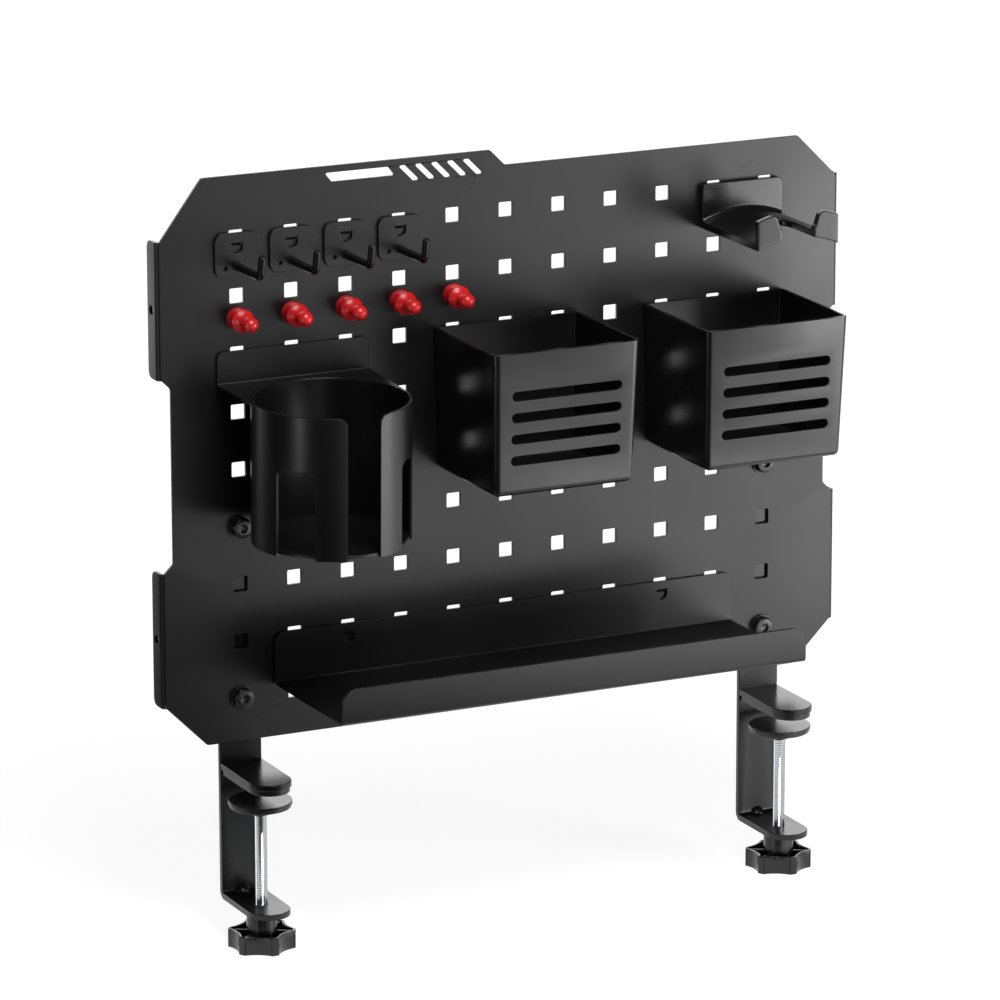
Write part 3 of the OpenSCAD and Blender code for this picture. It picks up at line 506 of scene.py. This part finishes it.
clamp_coat = powder_coat("clamp_powder_coat", 0.25, 0.08)
for side, way in sides.items():
    tip = panel_thick - strip_inner + lower_reach
    work = sheet([round_end(strip_wide, tip - arm_start, strip_top, strip_corner),
                  *[circle_loop(0, row, bolt_hole) for row in bolt_rows],
                  circle_loop(0, arm_start - panel_thick + strip_inner - screw_axis, screw_hole, 32)],
                 strip_thick)
    fold(work, 1, strip_bend, -1, True, strip_inner, strip_thick, 90, 8)
    bmesh.ops.create_uvsphere(work, u_segments=32, v_segments=16, radius=1.0, matrix=(
        Matrix.Translation((0, lower_arm_z, strip_thick)) @ Matrix.Rotation(math.pi / 4, 4, "X")
        @ Matrix.Diagonal((dart_half, dart_rise, dart_run, 1))))
    stand(work, way * clamp_x, panel_front + panel_thick, strip_thick)
    piece("clamp_bracket_" + side, work, "frame", ["bracket_" + side], clamp_coat, 0.5 * mm, 3)

# The upper jaws: a round-ended plate of the same steel, butt welded to each bracket, that hooks over the
# desk's edge and takes the clamp's pull.
upper_arm_z, upper_reach = -199.7 * mm, 42.5 * mm


def lay(work, x, z):
    """Puts a flat sheet drawn in X and Y in its place, with its underside at the given height."""
    work.transform(Matrix.Translation((x, panel_front, panel_middle + z)))


for side, way in sides.items():
    work = sheet([round_end(strip_wide, upper_reach, panel_thick)], strip_thick)
    lay(work, way * clamp_x, upper_arm_z)
    piece("jaw_plate_" + side, work, "frame", ["upper_arm_" + side], clamp_coat, 0.5 * mm, 3)

# The jaw pads: a rubber slab glued under each upper jaw, a millimetre smaller all round.
pad_thick, pad_inset = 3.7 * mm, 1 * mm


def moulded(name, colour, roughness, grain, depth):
    """Moulded plastic or rubber: a fine texture left by the mould, with faint changes of gloss."""
    material, tree, shader = new_material(name)
    broad = noise(tree, 25.0)
    feed(tree, shader, {
        "Specular IOR Level": 0.5,
        "Base Color": two_tone(tree, broad, [c * 0.88 for c in colour], [c * 1.12 for c in colour]),
        "Roughness": ramp(tree, broad, noise_low, noise_high, roughness - 0.04, roughness + 0.04),
        "Normal": skin(tree, noise(tree, grain, 3.0), depth)})
    return material


rubber = moulded("black_rubber", (0.010, 0.010, 0.010), 0.26, 900.0, 0.10)
for side, way in sides.items():
    work = sheet([round_end(strip_wide - 2 * pad_inset, upper_reach, panel_thick - pad_inset)], pad_thick)
    lay(work, way * clamp_x, upper_arm_z - pad_thick)
    piece("jaw_rubber_" + side, work, "frame", ["jaw_pad_" + side], rubber, 0.6 * mm, 3)

# The bolts: four M8 button-head screws with a hexagon socket, a washer under each head and a nut behind the
# bracket. They clamp panel and bracket together. Black oxide steel.
head_radius, head_face, head_high, head_edge = 7 * mm, 5.65 * mm, 4.4 * mm, 0.9 * mm
washer_radius, washer_thick = 8 * mm, 1.6 * mm
key_radius, key_deep, shank_radius, shank_end = 2.887 * mm, 2.6 * mm, 4 * mm, 14 * mm
nut_radius, nut_face, nut_thick, nut_edge = 7.506 * mm, 6.3 * mm, 6.5 * mm, 0.7 * mm


def lathe(profile, steps=48, ring=False):
    """Turns (radius, height) points about Z; a third number makes that ring a polygon of so many sides."""
    work = bmesh.new()
    rings = []
    for radius, height, *flats in profile:
        if radius == 0:
            rings.append([work.verts.new((0, 0, height))] * steps)
            continue
        line = []
        for k in range(steps):
            a = math.tau * k / steps
            half = math.pi / flats[0] if flats else 0
            reach = radius * math.cos(half) / math.cos(a % (2 * half) - half) if flats else radius
            line.append(work.verts.new((reach * math.cos(a), reach * math.sin(a), height)))
        rings.append(line)
    for low, high in list(zip(rings, rings[1:])) + ([(rings[-1], rings[0])] if ring else []):
        for k in range(steps):
            after = (k + 1) % steps
            work.faces.new(list(dict.fromkeys((low[k], low[after], high[after], high[k]))))
    return outward(work)


def set_tree():
    """Geometry nodes that put one object on each point, facing forward, each turned by its own angle."""
    tree, given = group_tree("bolt_set", {"Part": "Object", "Turn": "Float", "Seed": "Int"})
    part = add(tree, "GeometryNodeObjectInfo", {"Object": given["Part"]})
    angle = add(tree, "FunctionNodeRandomValue", {3: given["Turn"], "Seed": given["Seed"]})
    facing = add(tree, "ShaderNodeCombineXYZ", {"X": math.pi / 2, "Y": angle.outputs[1]})
    repeat = add(tree, "GeometryNodeInstanceOnPoints", {
        "Points": given["Geometry"], "Instance": part.outputs["Geometry"], "Rotation": facing})
    real = add(tree, "GeometryNodeRealizeInstances", {"Geometry": repeat})
    return finished(tree, real)


bolt_set = set_tree()
black_oxide = moulded("black_oxide", (0.012, 0.012, 0.013), 0.26, 700.0, 0.10)
bolt_places = [(way * clamp_x, panel_front, panel_middle + row) for way in (-1, 1) for row in bolt_rows]
head_rise, head_curve = washer_thick + head_edge, (0.25, 0.5, 0.75, 1.0, 1.3, math.pi / 2)
head_top_z, nut_z = washer_thick + head_high, -panel_thick - strip_thick
bolt_parts = {
    # piece: node, profile, whether the profile is a ring
    "button_screws": ("fixing_screws", [
        (0, -shank_end), (shank_radius - 0.8 * mm, -shank_end), (shank_radius, -shank_end + 0.8 * mm),
        (shank_radius, washer_thick), (head_radius, washer_thick), (head_radius, head_rise),
        *[(head_face + (head_radius - head_face) * math.cos(a),
           head_rise + (head_high - head_edge) * math.sin(a)) for a in head_curve],
        (key_radius + 0.35 * mm, head_top_z, 6), (key_radius, head_top_z - 0.3 * mm, 6),
        (key_radius, head_top_z - key_deep + 0.5 * mm, 6), (0, head_top_z - key_deep)], False),
    "washers": ("fixing_washers", [
        (bolt_hole, 0), (washer_radius, 0), (washer_radius, washer_thick), (bolt_hole, washer_thick)], True),
    "nuts": ("fixing_nuts", [
        (bolt_hole, nut_z), (nut_face, nut_z), (nut_radius, nut_z - nut_edge, 6),
        (nut_radius, nut_z - nut_thick + nut_edge, 6), (nut_face, nut_z - nut_thick),
        (bolt_hole + 0.4 * mm, nut_z - nut_thick), (bolt_hole, nut_z - nut_thick + 0.4 * mm)], True),
}
for seed, (name, (node, profile, ring)) in enumerate(bolt_parts.items()):
    pattern = put(name + "_pattern", as_mesh(name, lathe(profile, 48, ring)))
    points = bpy.data.meshes.new("places")
    points.from_pydata(bolt_places, [], [])
    work = run_tree(bolt_set, points, {"Part": pattern, "Turn": math.pi / 3, "Seed": seed})
    bpy.data.objects.remove(pattern)
    piece(name, work, "frame", [node], black_oxide, 0.2 * mm)

# The swivel feet: a rubber facing glued on a pressed steel disc, and under it a pressed cup that traps the
# screw's head, so that the foot rises with the screw without turning.
facing_radius, facing_top = 20.75 * mm, -213.4 * mm
disc_radius, disc_z, disc_top = 20.05 * mm, -217.8 * mm, -215.8 * mm
cup_z, cup_deep, cup_top, cup_foot = -222.8 * mm, 5 * mm, 10.3 * mm, 6.5 * mm
cup_bore, cup_lip, screw_head = 5.4 * mm, 1.6 * mm, 5.3 * mm


def on_screw(work, way):
    """Moves a shape turned about Z onto a clamp screw's axis."""
    work.transform(Matrix.Translation((way * clamp_x, panel_front - screw_axis, panel_middle)))


foot_parts = {
    # piece: node, slot, material, edge rounding, profile, whether the profile is a ring
    "foot_rubber_": ("facing_", "rubber", rubber, 0.3 * mm, [
        (0, disc_top), (facing_radius, disc_top), (facing_radius, facing_top), (0, facing_top)], False),
    "foot_disc_": ("foot_", "black_steel", black_oxide, 0.3 * mm, [
        (0, disc_z), (disc_radius - 0.5 * mm, disc_z), (disc_radius - 0.1 * mm, disc_z + 0.2 * mm),
        (disc_radius, disc_z + 0.6 * mm), (disc_radius, disc_top), (0, disc_top)], False),
    "foot_cup_": ("socket_", "black_steel", black_oxide, 0.35 * mm, [
        (screw_hole, cup_z), (cup_foot, cup_z), (cup_top, cup_z + cup_deep), (cup_bore, cup_z + cup_deep),
        (cup_bore, cup_z + cup_lip), (screw_hole, cup_z + cup_lip)], True),
}
for side, way in sides.items():
    for name, (node, slot, material, edge, profile, ring) in foot_parts.items():
        work = lathe(profile, 72, ring)
        on_screw(work, way)
        piece(name + side, work, side + "_foot", [node + side], material, edge, 3)

# The clamp screws: bright zinc-plated M8 rod, its fine thread cut along its whole length, with a flat head
# above that turns in the foot's cup. The knob is moulded on its lower end.
thread_low, thread_high, thread_pitch = -309.2 * mm, -221.6 * mm, 1.25 * mm
thread_root, thread_crest, thread_steps = 3.72 * mm, 4 * mm, 32
thread_form = ((0.0, thread_root), (0.34, thread_crest), (0.56, thread_crest), (0.9, thread_root))
head_low, head_top = -220.9 * mm, -217.9 * mm


def threaded_rod():
    """A rod whose rows of points climb one pitch a turn, so that every crest is one unbroken helix."""
    work = bmesh.new()
    made = {}

    def point(row, step):
        share, radius = thread_form[row % 4]
        height = thread_low + thread_pitch * (row // 4 - 1 + share + step / thread_steps)
        key = (row, step)
        if height <= thread_low:
            key, height, radius = ("low", step), thread_low, thread_root
        elif height >= thread_high:
            key, height, radius = ("high", step), thread_high, thread_root
        if key not in made:
            a = math.tau * step / thread_steps
            made[key] = work.verts.new((radius * math.cos(a), radius * math.sin(a), height))
        return made[key]

    rows = 4 * (int((thread_high - thread_low) / thread_pitch) + 3)
    for row in range(rows):
        for step in range(thread_steps):
            after, climb = (step + 1, 0) if step + 1 < thread_steps else (0, 4)
            face = list(dict.fromkeys((point(row, step), point(row + climb, after),
                                       point(row + climb + 1, after), point(row + 1, step))))
            if len(face) > 2:
                work.faces.new(face)
    for end in ("low", "high"):
        work.faces.new([made[end, step] for step in range(thread_steps)])
    return outward(work)


def join(work, other):
    """Adds a second bmesh to the first."""
    mesh = as_mesh("part", other)
    work.from_mesh(mesh)
    bpy.data.meshes.remove(mesh)


def plated(name, colour, roughness):
    """Bright plated steel: drawn lines round the part and a slight cloud in its gloss."""
    material, tree, shader = new_material(name)
    lines = noise(tree, 1.0, stretch=(60.0, 60.0, 1800.0))
    feed(tree, shader, {
        "Metallic": 1.0, "Roughness": ramp(tree, lines, 0.0, 1.0, roughness - 0.05, roughness + 0.05),
        "Base Color": two_tone(tree, lines, [c * 0.93 for c in colour], colour, 0.0, 1.0)})
    return material


bright_zinc = plated("bright_zinc", (0.80, 0.84, 0.87), 0.12)
neck_radius, neck_low = thread_root - 0.1 * mm, thread_high - 0.5 * mm
for side, way in sides.items():
    work = threaded_rod()
    join(work, lathe([(0, neck_low), (neck_radius, neck_low), (neck_radius, head_low), (screw_head, head_low),
                      (screw_head, head_top), (0, head_top)]))
    on_screw(work, way)
    piece("clamp_screw_" + side, work, side + "_spindle", ["screw_" + side], bright_zinc)

# The knobs: six-cornered star grips, hollow above with a rib out to each corner, the hub moulded round the
# screw. Taken from the construction model, its small edges rounded. Black nylon.


def cad_copy(node):
    """A merged copy of a construction node, its flat faces joined up."""
    source = bpy.data.objects[node]
    work = as_bmesh(source.data)
    work.transform(source.matrix_world)
    bmesh.ops.remove_doubles(work, verts=work.verts, dist=seam)
    bmesh.ops.dissolve_limit(work, angle_limit=math.radians(0.4), verts=work.verts, edges=work.edges)
    return work


black_nylon = moulded("black_nylon", (0.007, 0.007, 0.0075), 0.24, 700.0, 0.08)
for side, way in sides.items():
    piece("star_knob_" + side, cad_copy("knob_" + side), side + "_spindle", ["knob_" + side],
          black_nylon, 0.5 * mm, 3, 28)

# The hooks: a small plate of 2 mm sheet whose hanging tab is lanced out of it and bent through a peg hole,
# and a 5 mm rod with an upturned end, welded to the plate. Four of them, powder coated.
thin, sheet_edge = 2 * mm, 0.3 * mm
hook_wide, hook_high, hook_corner, hook_foot = 31 * mm, 28.8 * mm, 6 * mm, 126.7 * mm
hook_row, hook_places = 152 * mm, [-190 * mm, -152 * mm, -114 * mm, -76 * mm]
tab_half, tab_lip, tab_bend, tab_gap = 3.7 * mm, 3.7 * mm, 0.5 * mm, 0.3 * mm
lance_half, lance_high = 3.9 * mm, 7.6 * mm
spot_radius, spot_x, spot_z = 1.5 * mm, -8.5 * mm, 132.7 * mm
rod_radius, rod_z, rod_reach = 2.5 * mm, 133.4 * mm, 35.2 * mm
rod_bend, rod_lean, rod_tip = 4 * mm, math.radians(78), 11.4 * mm


def lance_loop(x, row):
    """The opening a hanging tab leaves: flat above, where the tab starts, and round below."""
    top = row - hole_side / 2 + tab_bend + thin
    low = top - lance_high + lance_half
    return [Vector((x + a, top)) for a in (-lance_half, -tab_half, tab_half, lance_half)] + circle_loop(
        x, low, lance_half, 16, math.tau, math.pi)


def open_end(work, x, y):
    """Takes away the small end face whose middle is nearest the given place, so that two sheets can join."""
    middle = Vector((x, y, thin / 2))
    face = min(work.faces, key=lambda f: (f.calc_center_median() - middle).length)
    bmesh.ops.delete(work, geom=[face], context="FACES_ONLY")


def tab_strip(long, thick):
    """The flat strip that a tab is bent from, hanging down from its root."""
    return sheet([[Vector((-tab_half, 0)), Vector((tab_half, 0)), Vector((tab_half, -long)),
                   Vector((-tab_half, -long))]], thick)


def lance_tab(work, x, row):
    """Bends a tab out of a sheet's opening: back through its peg hole, then down behind the panel."""
    top = row - hole_side / 2 + tab_bend + thin
    back = math.pi / 2 * (tab_bend + thin / 2)
    down = math.pi / 2 * (tab_gap + thin / 2)
    through = panel_thick - tab_bend
    tab = tab_strip(back + through + down + tab_lip, thin)
    fold(tab, 1, -back - through, -1, True, tab_gap, thin, 90)
    fold(tab, 1, 0, -1, False, tab_bend, thin, 90)
    open_end(tab, 0, 0)
    open_end(work, x, top)
    tab.transform(Matrix.Translation((x, top, 0)))
    join(work, tab)
    bmesh.ops.remove_doubles(work, verts=work.verts, dist=seam)


def rod_tree():
    """Geometry nodes that run a round bar along a path with its corners bent to a radius."""
    tree, given = group_tree("bent_rod", {"Radius": "Float", "Bend radius": "Float"})
    path = add(tree, "GeometryNodeMeshToCurve", {"Mesh": given["Geometry"]})
    bent = add(tree, "GeometryNodeFilletCurve", {
        "Curve": path, "Count": 10, "Radius": given["Bend radius"]}, mode="POLY")
    section = add(tree, "GeometryNodeCurvePrimitiveCircle", {"Resolution": 32, "Radius": given["Radius"]})
    bar = add(tree, "GeometryNodeCurveToMesh", {
        "Curve": bent, "Profile Curve": section, "Fill Caps": True})
    weld = add(tree, "GeometryNodeMergeByDistance", {"Geometry": bar, "Distance": 1e-6})
    real = add(tree, "GeometryNodeRealizeInstances", {"Geometry": weld})
    return finished(tree, real)


bent_rod = rod_tree()
corner = -rod_reach - rod_bend * math.tan(rod_lean / 2)
past = rod_bend * math.tan(rod_lean / 2) + rod_tip
rod_path = ((-thin / 2, 0), (corner, 0), (corner - past * math.cos(rod_lean), past * math.sin(rod_lean)))
weld_bead = [(-0.2, -0.3), (0.8, -0.3), (0.8, 0.02), (0.35, 0.15), (0.12, 0.4), (0, 0.8), (-0.2, 0.8)]
for number, x in enumerate(hook_places, 1):
    half = hook_wide / 2
    work = sheet([arc_corners([(x + sx * half, hook_foot + up * hook_high, hook_corner) for sx, up in
                               ((-1, 0), (1, 0), (1, 1), (-1, 1))], 8),
                  lance_loop(x, hook_row), circle_loop(x + spot_x, spot_z, spot_radius)], thin)
    lance_tab(work, x, hook_row)
    stand(work, 0, panel_front - thin, thin)
    piece(f"hook_back_{number}", work, f"hook_{number}", [f"hook_plate_{number}"],
          black_coat, sheet_edge)
    spine = bpy.data.meshes.new("spine")
    spine.from_pydata([(x, panel_front + y, panel_middle + rod_z + z) for y, z in rod_path],
                      [(0, 1), (1, 2)], [])
    work = outward(run_tree(bent_rod, spine, {"Radius": rod_radius, "Bend radius": rod_bend}))
    bead = lathe([(rod_radius + out * mm, height * mm) for out, height in weld_bead], 32, True)
    bead.transform(upright(x, panel_front - thin, panel_middle + rod_z))
    join(work, bead)
    piece(f"hook_bar_{number}", work, f"hook_{number}", [f"hook_rod_{number}"],
          black_coat, 0.6 * mm, 3, 50)

# The magnets: a red plastic grip turned like a small skittle, with a nickel-plated disc magnet pressed into
# its back. Five of them sit anywhere on the steel panel.
magnet_z, magnet_places = 99.2 * mm, [-190 * mm, -152 * mm, -114 * mm, -76 * mm, -38 * mm]
# the grip's outline in millimetres, out to where its neck meets the ball
grip_profile = [(7.42, 0), (7.5, 0.25), (7.5, 1.0), (7.3, 2.2), (7.12, 3.6), (7.05, 5.2), (7.08, 6.6),
                (7.3, 7.7), (7.6, 8.3), (7.66, 8.8), (7.62, 9.4), (7.25, 9.95), (6.55, 10.5), (5.6, 11.25),
                (4.6, 12.15), (3.9, 13.1), (3.5, 14.1), (3.4, 15.1), (3.55, 16.1)]
ball_radius, ball_from, grip_deep, ball_steps = 5.1, 16.6, 26.0, 14
pocket_radius, pocket_deep, disc_wide, disc_deep = 5.9 * mm, 4.1 * mm, 5.8 * mm, 4 * mm
red_gloss, tree, shader = new_material("red_plastic")
feed(tree, shader, {
    "Roughness": 0.32, "Specular IOR Level": 0.5, "Coat Weight": 0.15, "Coat Roughness": 0.25,
    "Base Color": two_tone(tree, noise(tree, 120.0), (0.60, 0.012, 0.015), (0.68, 0.016, 0.019))})
nickel = plated("nickel_plate", (0.66, 0.64, 0.60), 0.22)
ball_middle = grip_deep - ball_radius
start = math.asin((ball_from - ball_middle) / ball_radius)
ball = [(ball_radius * math.cos(a), ball_middle + ball_radius * math.sin(a))
        for a in [start + (math.pi / 2 - start) * k / ball_steps for k in range(ball_steps)]]
grip = [(r * mm, z * mm) for r, z in grip_profile + ball + [(0, grip_deep)]]
for number, x in enumerate(magnet_places, 1):
    onto = upright(x, panel_front, panel_middle + magnet_z)
    work = lathe([(0, pocket_deep), (pocket_radius, pocket_deep), (pocket_radius, 0)] + grip, 48)
    work.transform(onto)
    piece(f"magnet_grip_{number}", work, f"magnet_{number}", [f"magnet_cap_{number}"],
          red_gloss, 0, 2, 50)
    work = lathe([(0, 0), (disc_wide, 0), (disc_wide, disc_deep), (0, disc_deep)], 48)
    work.transform(onto)
    piece(f"magnet_{number}_disc", work, f"magnet_{number}", [f"magnet_disc_{number}"], nickel,
          0.3 * mm, 3)

# The cup holder: a plate and shelf bent from one sheet, leaning a little forward, with a rolled sleeve and
# its floor welded to it. The sleeve is open in front for a cup's handle and has a window on each side.
cup_x, cup_plate_half, cup_plate_top, cup_shelf_z = -152 * mm, 53 * mm, 78.7 * mm, 57.5 * mm
cup_corner, soft_bend, cup_lean, cup_axis = 4.5 * mm, 1 * mm, math.radians(1.2), 61 * mm
sleeve_radius, sleeve_high, sleeve_corner = 51.3 * mm, 93 * mm, 6 * mm
slot_half, window_half, window_at, window_drop, window_corner = (
    11.45 * mm, 13.7 * mm, math.radians(51.3), 35.2 * mm, 5 * mm)
cup_row, shelf_gap, floor_rise, floor_radius, tab_root = 76 * mm, 0.3 * mm, 1 * mm, 49 * mm, 1 * mm


def straight_tab(work, x, row, thick):
    """Adds a tab that leaves a sheet's back square, passes through its peg hole and turns down behind it."""
    down = math.pi / 2 * (tab_gap + thick / 2)
    tab = tab_strip(tab_root + panel_thick + down + tab_lip, thick)
    fold(tab, 1, -tab_root - panel_thick, -1, True, tab_gap, thick, 90)
    tab.transform(upright(x, row - hole_side / 2 + thick, tab_root))
    join(work, tab)


pivot = thin + soft_bend
bend_line = cup_shelf_z + soft_bend
shelf_run = (math.pi / 2 - cup_lean) * (soft_bend + thin / 2)
shelf_start = bend_line - shelf_run
cut_radius, cut_from = sleeve_radius + shelf_gap, math.radians(4.5)
cut = circle_loop(cup_x, shelf_start - (cup_axis - pivot), cut_radius, 48, cut_from, math.pi - cut_from)
work = sheet([arc_corners([(cup_x - cup_plate_half, bend_line, 0), (cup_x - cup_plate_half, shelf_start, 0)]
                          + [(p.x, p.y, 0) for p in reversed(cut)]
                          + [(cup_x + cup_plate_half, shelf_start, 0), (cup_x + cup_plate_half, bend_line, 0),
                             (cup_x + cup_plate_half, cup_plate_top, cup_corner),
                             (cup_x - cup_plate_half, cup_plate_top, cup_corner)], 6)], thin)
fold(work, 1, bend_line, -1, True, soft_bend, thin, 90 - math.degrees(cup_lean), 6)
for step in (-1, 1):
    straight_tab(work, cup_x + step * pitch, cup_row, thin)
stand(work, 0, panel_front - thin, thin)
piece("cup_plate", work, "cup_holder", ["cup_bracket"], black_coat, sheet_edge)


def on_shelf(work):
    """Moves a shape drawn about the sleeve's axis, its top at height 0, into the leaning shelf's frame."""
    work.transform(Matrix.Translation((cup_x, panel_front - pivot, panel_middle + bend_line))
                   @ Matrix.Rotation(cup_lean, 4, "X")
                   @ Matrix.Translation((0, pivot - cup_axis, -soft_bend)))


def roll(work, radius, thick, steps):
    """Rolls a flat blank into a tube about Z: X runs round its outside, Y becomes its height."""
    longest = max(abs(v.co.x) for v in work.verts)
    for k in range(-steps, steps + 1):
        crease(work, (longest * k / steps, 0, 0), (1, 0, 0))
    for v in work.verts:
        a, out = v.co.x / radius, radius - thick + v.co.z
        v.co = Vector((out * math.sin(a), out * math.cos(a), v.co.y))


blank_end = sleeve_radius * (math.pi - math.asin(slot_half / sleeve_radius))
window_x = sleeve_radius * (math.pi - window_at)
window_reach = sleeve_radius * math.asin(window_half / sleeve_radius)
blank = [(-blank_end, 0, sleeve_corner), (-blank_end, -sleeve_high, 0)]
for way in (-1, 1):
    near, far = way * window_x - window_reach, way * window_x + window_reach
    blank += [(near, -sleeve_high, 0), (near, -window_drop, window_corner),
              (far, -window_drop, window_corner), (far, -sleeve_high, 0)]
blank += [(blank_end, -sleeve_high, 0), (blank_end, 0, sleeve_corner)]
work = sheet([arc_corners(blank, 8)], thin)
roll(work, sleeve_radius, thin, 60)
on_shelf(work)
piece("cup_sleeve_rolled", work, "cup_holder", ["cup_sleeve"], black_coat, sheet_edge)
work = lathe([(0, 0), (floor_radius - 2 * mm, 0), (floor_radius, 0), (floor_radius, thin), (0, thin)], 96)
work.transform(Matrix.Translation((0, 0, floor_rise - sleeve_high)))
on_shelf(work)
piece("cup_floor_disc", work, "cup_holder", ["cup_floor"], black_coat, sheet_edge)

# The bins: open moulded boxes that taper to a rounded foot, four slots across the front of each, hung on two
# moulded tabs behind. Black plastic.
bin_half, bin_deep, bin_high, bin_wall = 52 * mm, 91.4 * mm, 94.7 * mm, 2.2 * mm
bin_rim, bin_band, side_draft, front_draft = 79.3 * mm, 1 * mm, 2.4 * mm, 5 * mm
front_corner, back_corner, foot_round = 5 * mm, 3.2 * mm, 4 * mm
bin_slot_half, bin_slot_radius, bin_slot_step = 39 * mm, 3 * mm, 14.3 * mm
bin_slot_drop, bin_slots, punch_before, punch_past = 28.3 * mm, 4, 5 * mm, 15 * mm
bin_places = {"bin_left": (0, "bin_1"), "bin_right": (152 * mm, "bin_2")}
bin_tab, least_corner, skin_steps, bin_seam = 3.4 * mm, 1e-7, 6, 0.005 * mm


def bin_ring(inset, share, height):
    """A bin's outline drawn in by an inset, at a share of the way from rim to foot."""
    half = bin_half - side_draft * share - inset
    front = -bin_deep + front_draft * share + inset
    back = -inset
    fore = max(front_corner + (foot_round - front_corner) * share - inset, least_corner)
    aft = max(back_corner + (foot_round - back_corner) * share - inset, least_corner)
    outline = [(-half, front, fore), (half, front, fore), (half, back, aft), (-half, back, aft)]
    return [(p.x, p.y, height) for p in arc_corners(outline, 8)]


def bin_skin(inset, low):
    """The rings of one side of a bin's wall, from the rim down to the middle of its floor."""
    round_low = foot_round - inset
    rings = [bin_ring(inset, 0, 0), bin_ring(inset, 0, -bin_band)]
    for k in range(1, skin_steps + 1):
        share = k / skin_steps
        rings.append(bin_ring(inset, share, -bin_band + (low + round_low + bin_band) * share))
    for k in range(1, skin_steps + 1):
        a = math.pi / 2 * k / skin_steps
        drawn = round_low * (1 - math.cos(a))
        rings.append(bin_ring(inset + drawn, 1, low + round_low * (1 - math.sin(a))))
    return rings


def loft(work, rings):
    """Joins rings of equal count by faces; gives the first and last ring's points."""
    made = [[work.verts.new(p) for p in ring] for ring in rings]
    for low, high in zip(made, made[1:]):
        for k in range(len(low)):
            after = (k + 1) % len(low)
            work.faces.new((low[k], low[after], high[after], high[k]))
    return made[0], made[-1]


for name, (x, body) in bin_places.items():
    work = bmesh.new()
    outer_rim, outer_foot = loft(work, bin_skin(0, -bin_high))
    inner_rim, inner_foot = loft(work, bin_skin(bin_wall, bin_wall - bin_high))
    for k in range(len(outer_rim)):
        after = (k + 1) % len(outer_rim)
        work.faces.new((outer_rim[k], outer_rim[after], inner_rim[after], inner_rim[k]))
    work.faces.new(outer_foot)
    work.faces.new(inner_foot)
    bmesh.ops.remove_doubles(work, verts=work.verts, dist=bin_seam)
    shell = as_mesh("shell", outward(work))
    cuts = bmesh.new()
    for k in range(bin_slots):
        z = -bin_slot_drop - k * bin_slot_step
        ends = bin_slot_half - bin_slot_radius
        loop = (circle_loop(ends, z, bin_slot_radius, 16, -math.pi / 2, math.pi / 2)
                + circle_loop(-ends, z, bin_slot_radius, 16, math.pi / 2, 1.5 * math.pi))
        for end in loft(cuts, [[(p.x, y, p.y) for p in loop]
                               for y in (-bin_deep - punch_before, -bin_deep + punch_past)]):
            cuts.faces.new(end)
    cutter, holder = put("cutter", as_mesh("cutter", outward(cuts))), put("shell", shell)
    punch = holder.modifiers.new("punch", "BOOLEAN")
    punch.operation, punch.solver, punch.object = "DIFFERENCE", "EXACT", cutter
    work = as_bmesh(evaluated(holder))
    bpy.data.objects.remove(cutter)
    work.transform(Matrix.Translation((x, panel_front, panel_middle + bin_rim)))
    tabs = bmesh.new()
    for step in (-1, 1):
        straight_tab(tabs, x + step * pitch, cup_row, bin_tab)
    stand(tabs, 0, panel_front, 0)
    join(work, tabs)
    piece(name + "_moulding", work, body, [name], black_nylon, 0.4 * mm, 3, 35)

# The headphone hanger: moulded in one, an arched saddle with two arms and upturned tips on a back plate with
# two tabs behind. Taken from the construction model, its edges rounded. Black plastic.
hanger_grain, hanger_rounds = 0.5 * mm, 3


def softened(work, grain, rounds):
    """Rebuilds a solid on a fine even grid and eases its edges, as a mould's rounded edges do."""
    made = put("soft", as_mesh("soft", work))
    grid = made.modifiers.new("grid", "REMESH")
    grid.mode, grid.voxel_size, grid.use_smooth_shade = "VOXEL", grain, True
    ease = made.modifiers.new("ease", "SMOOTH")
    ease.factor, ease.iterations = 0.5, rounds
    return as_bmesh(evaluated(made))


piece("hanger_moulding", softened(cad_copy("headphone_hanger"), hanger_grain, hanger_rounds), "hanger",
      ["headphone_hanger"], black_nylon, 0, 2, 180)

# The tray: one sheet bent twice, into a back plate, a shelf and a lip with rounded ends. Two hanging tabs
# are lanced out of the plate. Powder coated.
tray_half, tray_top, tray_shelf_z, tray_deep = 166.6 * mm, -111 * mm, -144.5 * mm, 106.3 * mm
tray_lip, tray_lip_corner, tray_plate_corner = 24 * mm, 10.5 * mm, 6.5 * mm
tray_row, tray_tabs = -114 * mm, 114 * mm
sheet_bend = math.pi / 2 * (soft_bend + thin / 2)
plate_low = tray_shelf_z + soft_bend
shelf_end = plate_low - sheet_bend - (tray_deep - 2 * (soft_bend + thin))
lip_end = shelf_end - sheet_bend - (tray_lip - soft_bend - thin)
outline = [(-tray_half, lip_end, tray_lip_corner), (tray_half, lip_end, tray_lip_corner),
           (tray_half, tray_top, tray_plate_corner), (-tray_half, tray_top, tray_plate_corner)]
work = sheet([arc_corners(outline, 10)] + [lance_loop(x, tray_row) for x in (-tray_tabs, tray_tabs)], thin)
fold(work, 1, shelf_end, -1, True, soft_bend, thin, 90, 6)
fold(work, 1, plate_low, -1, True, soft_bend, thin, 90, 6)
for x in (-tray_tabs, tray_tabs):
    lance_tab(work, x, tray_row)
stand(work, 0, panel_front - thin, thin)
piece("tray_sheet", work, "tray_body", ["tray"], black_coat, sheet_edge)
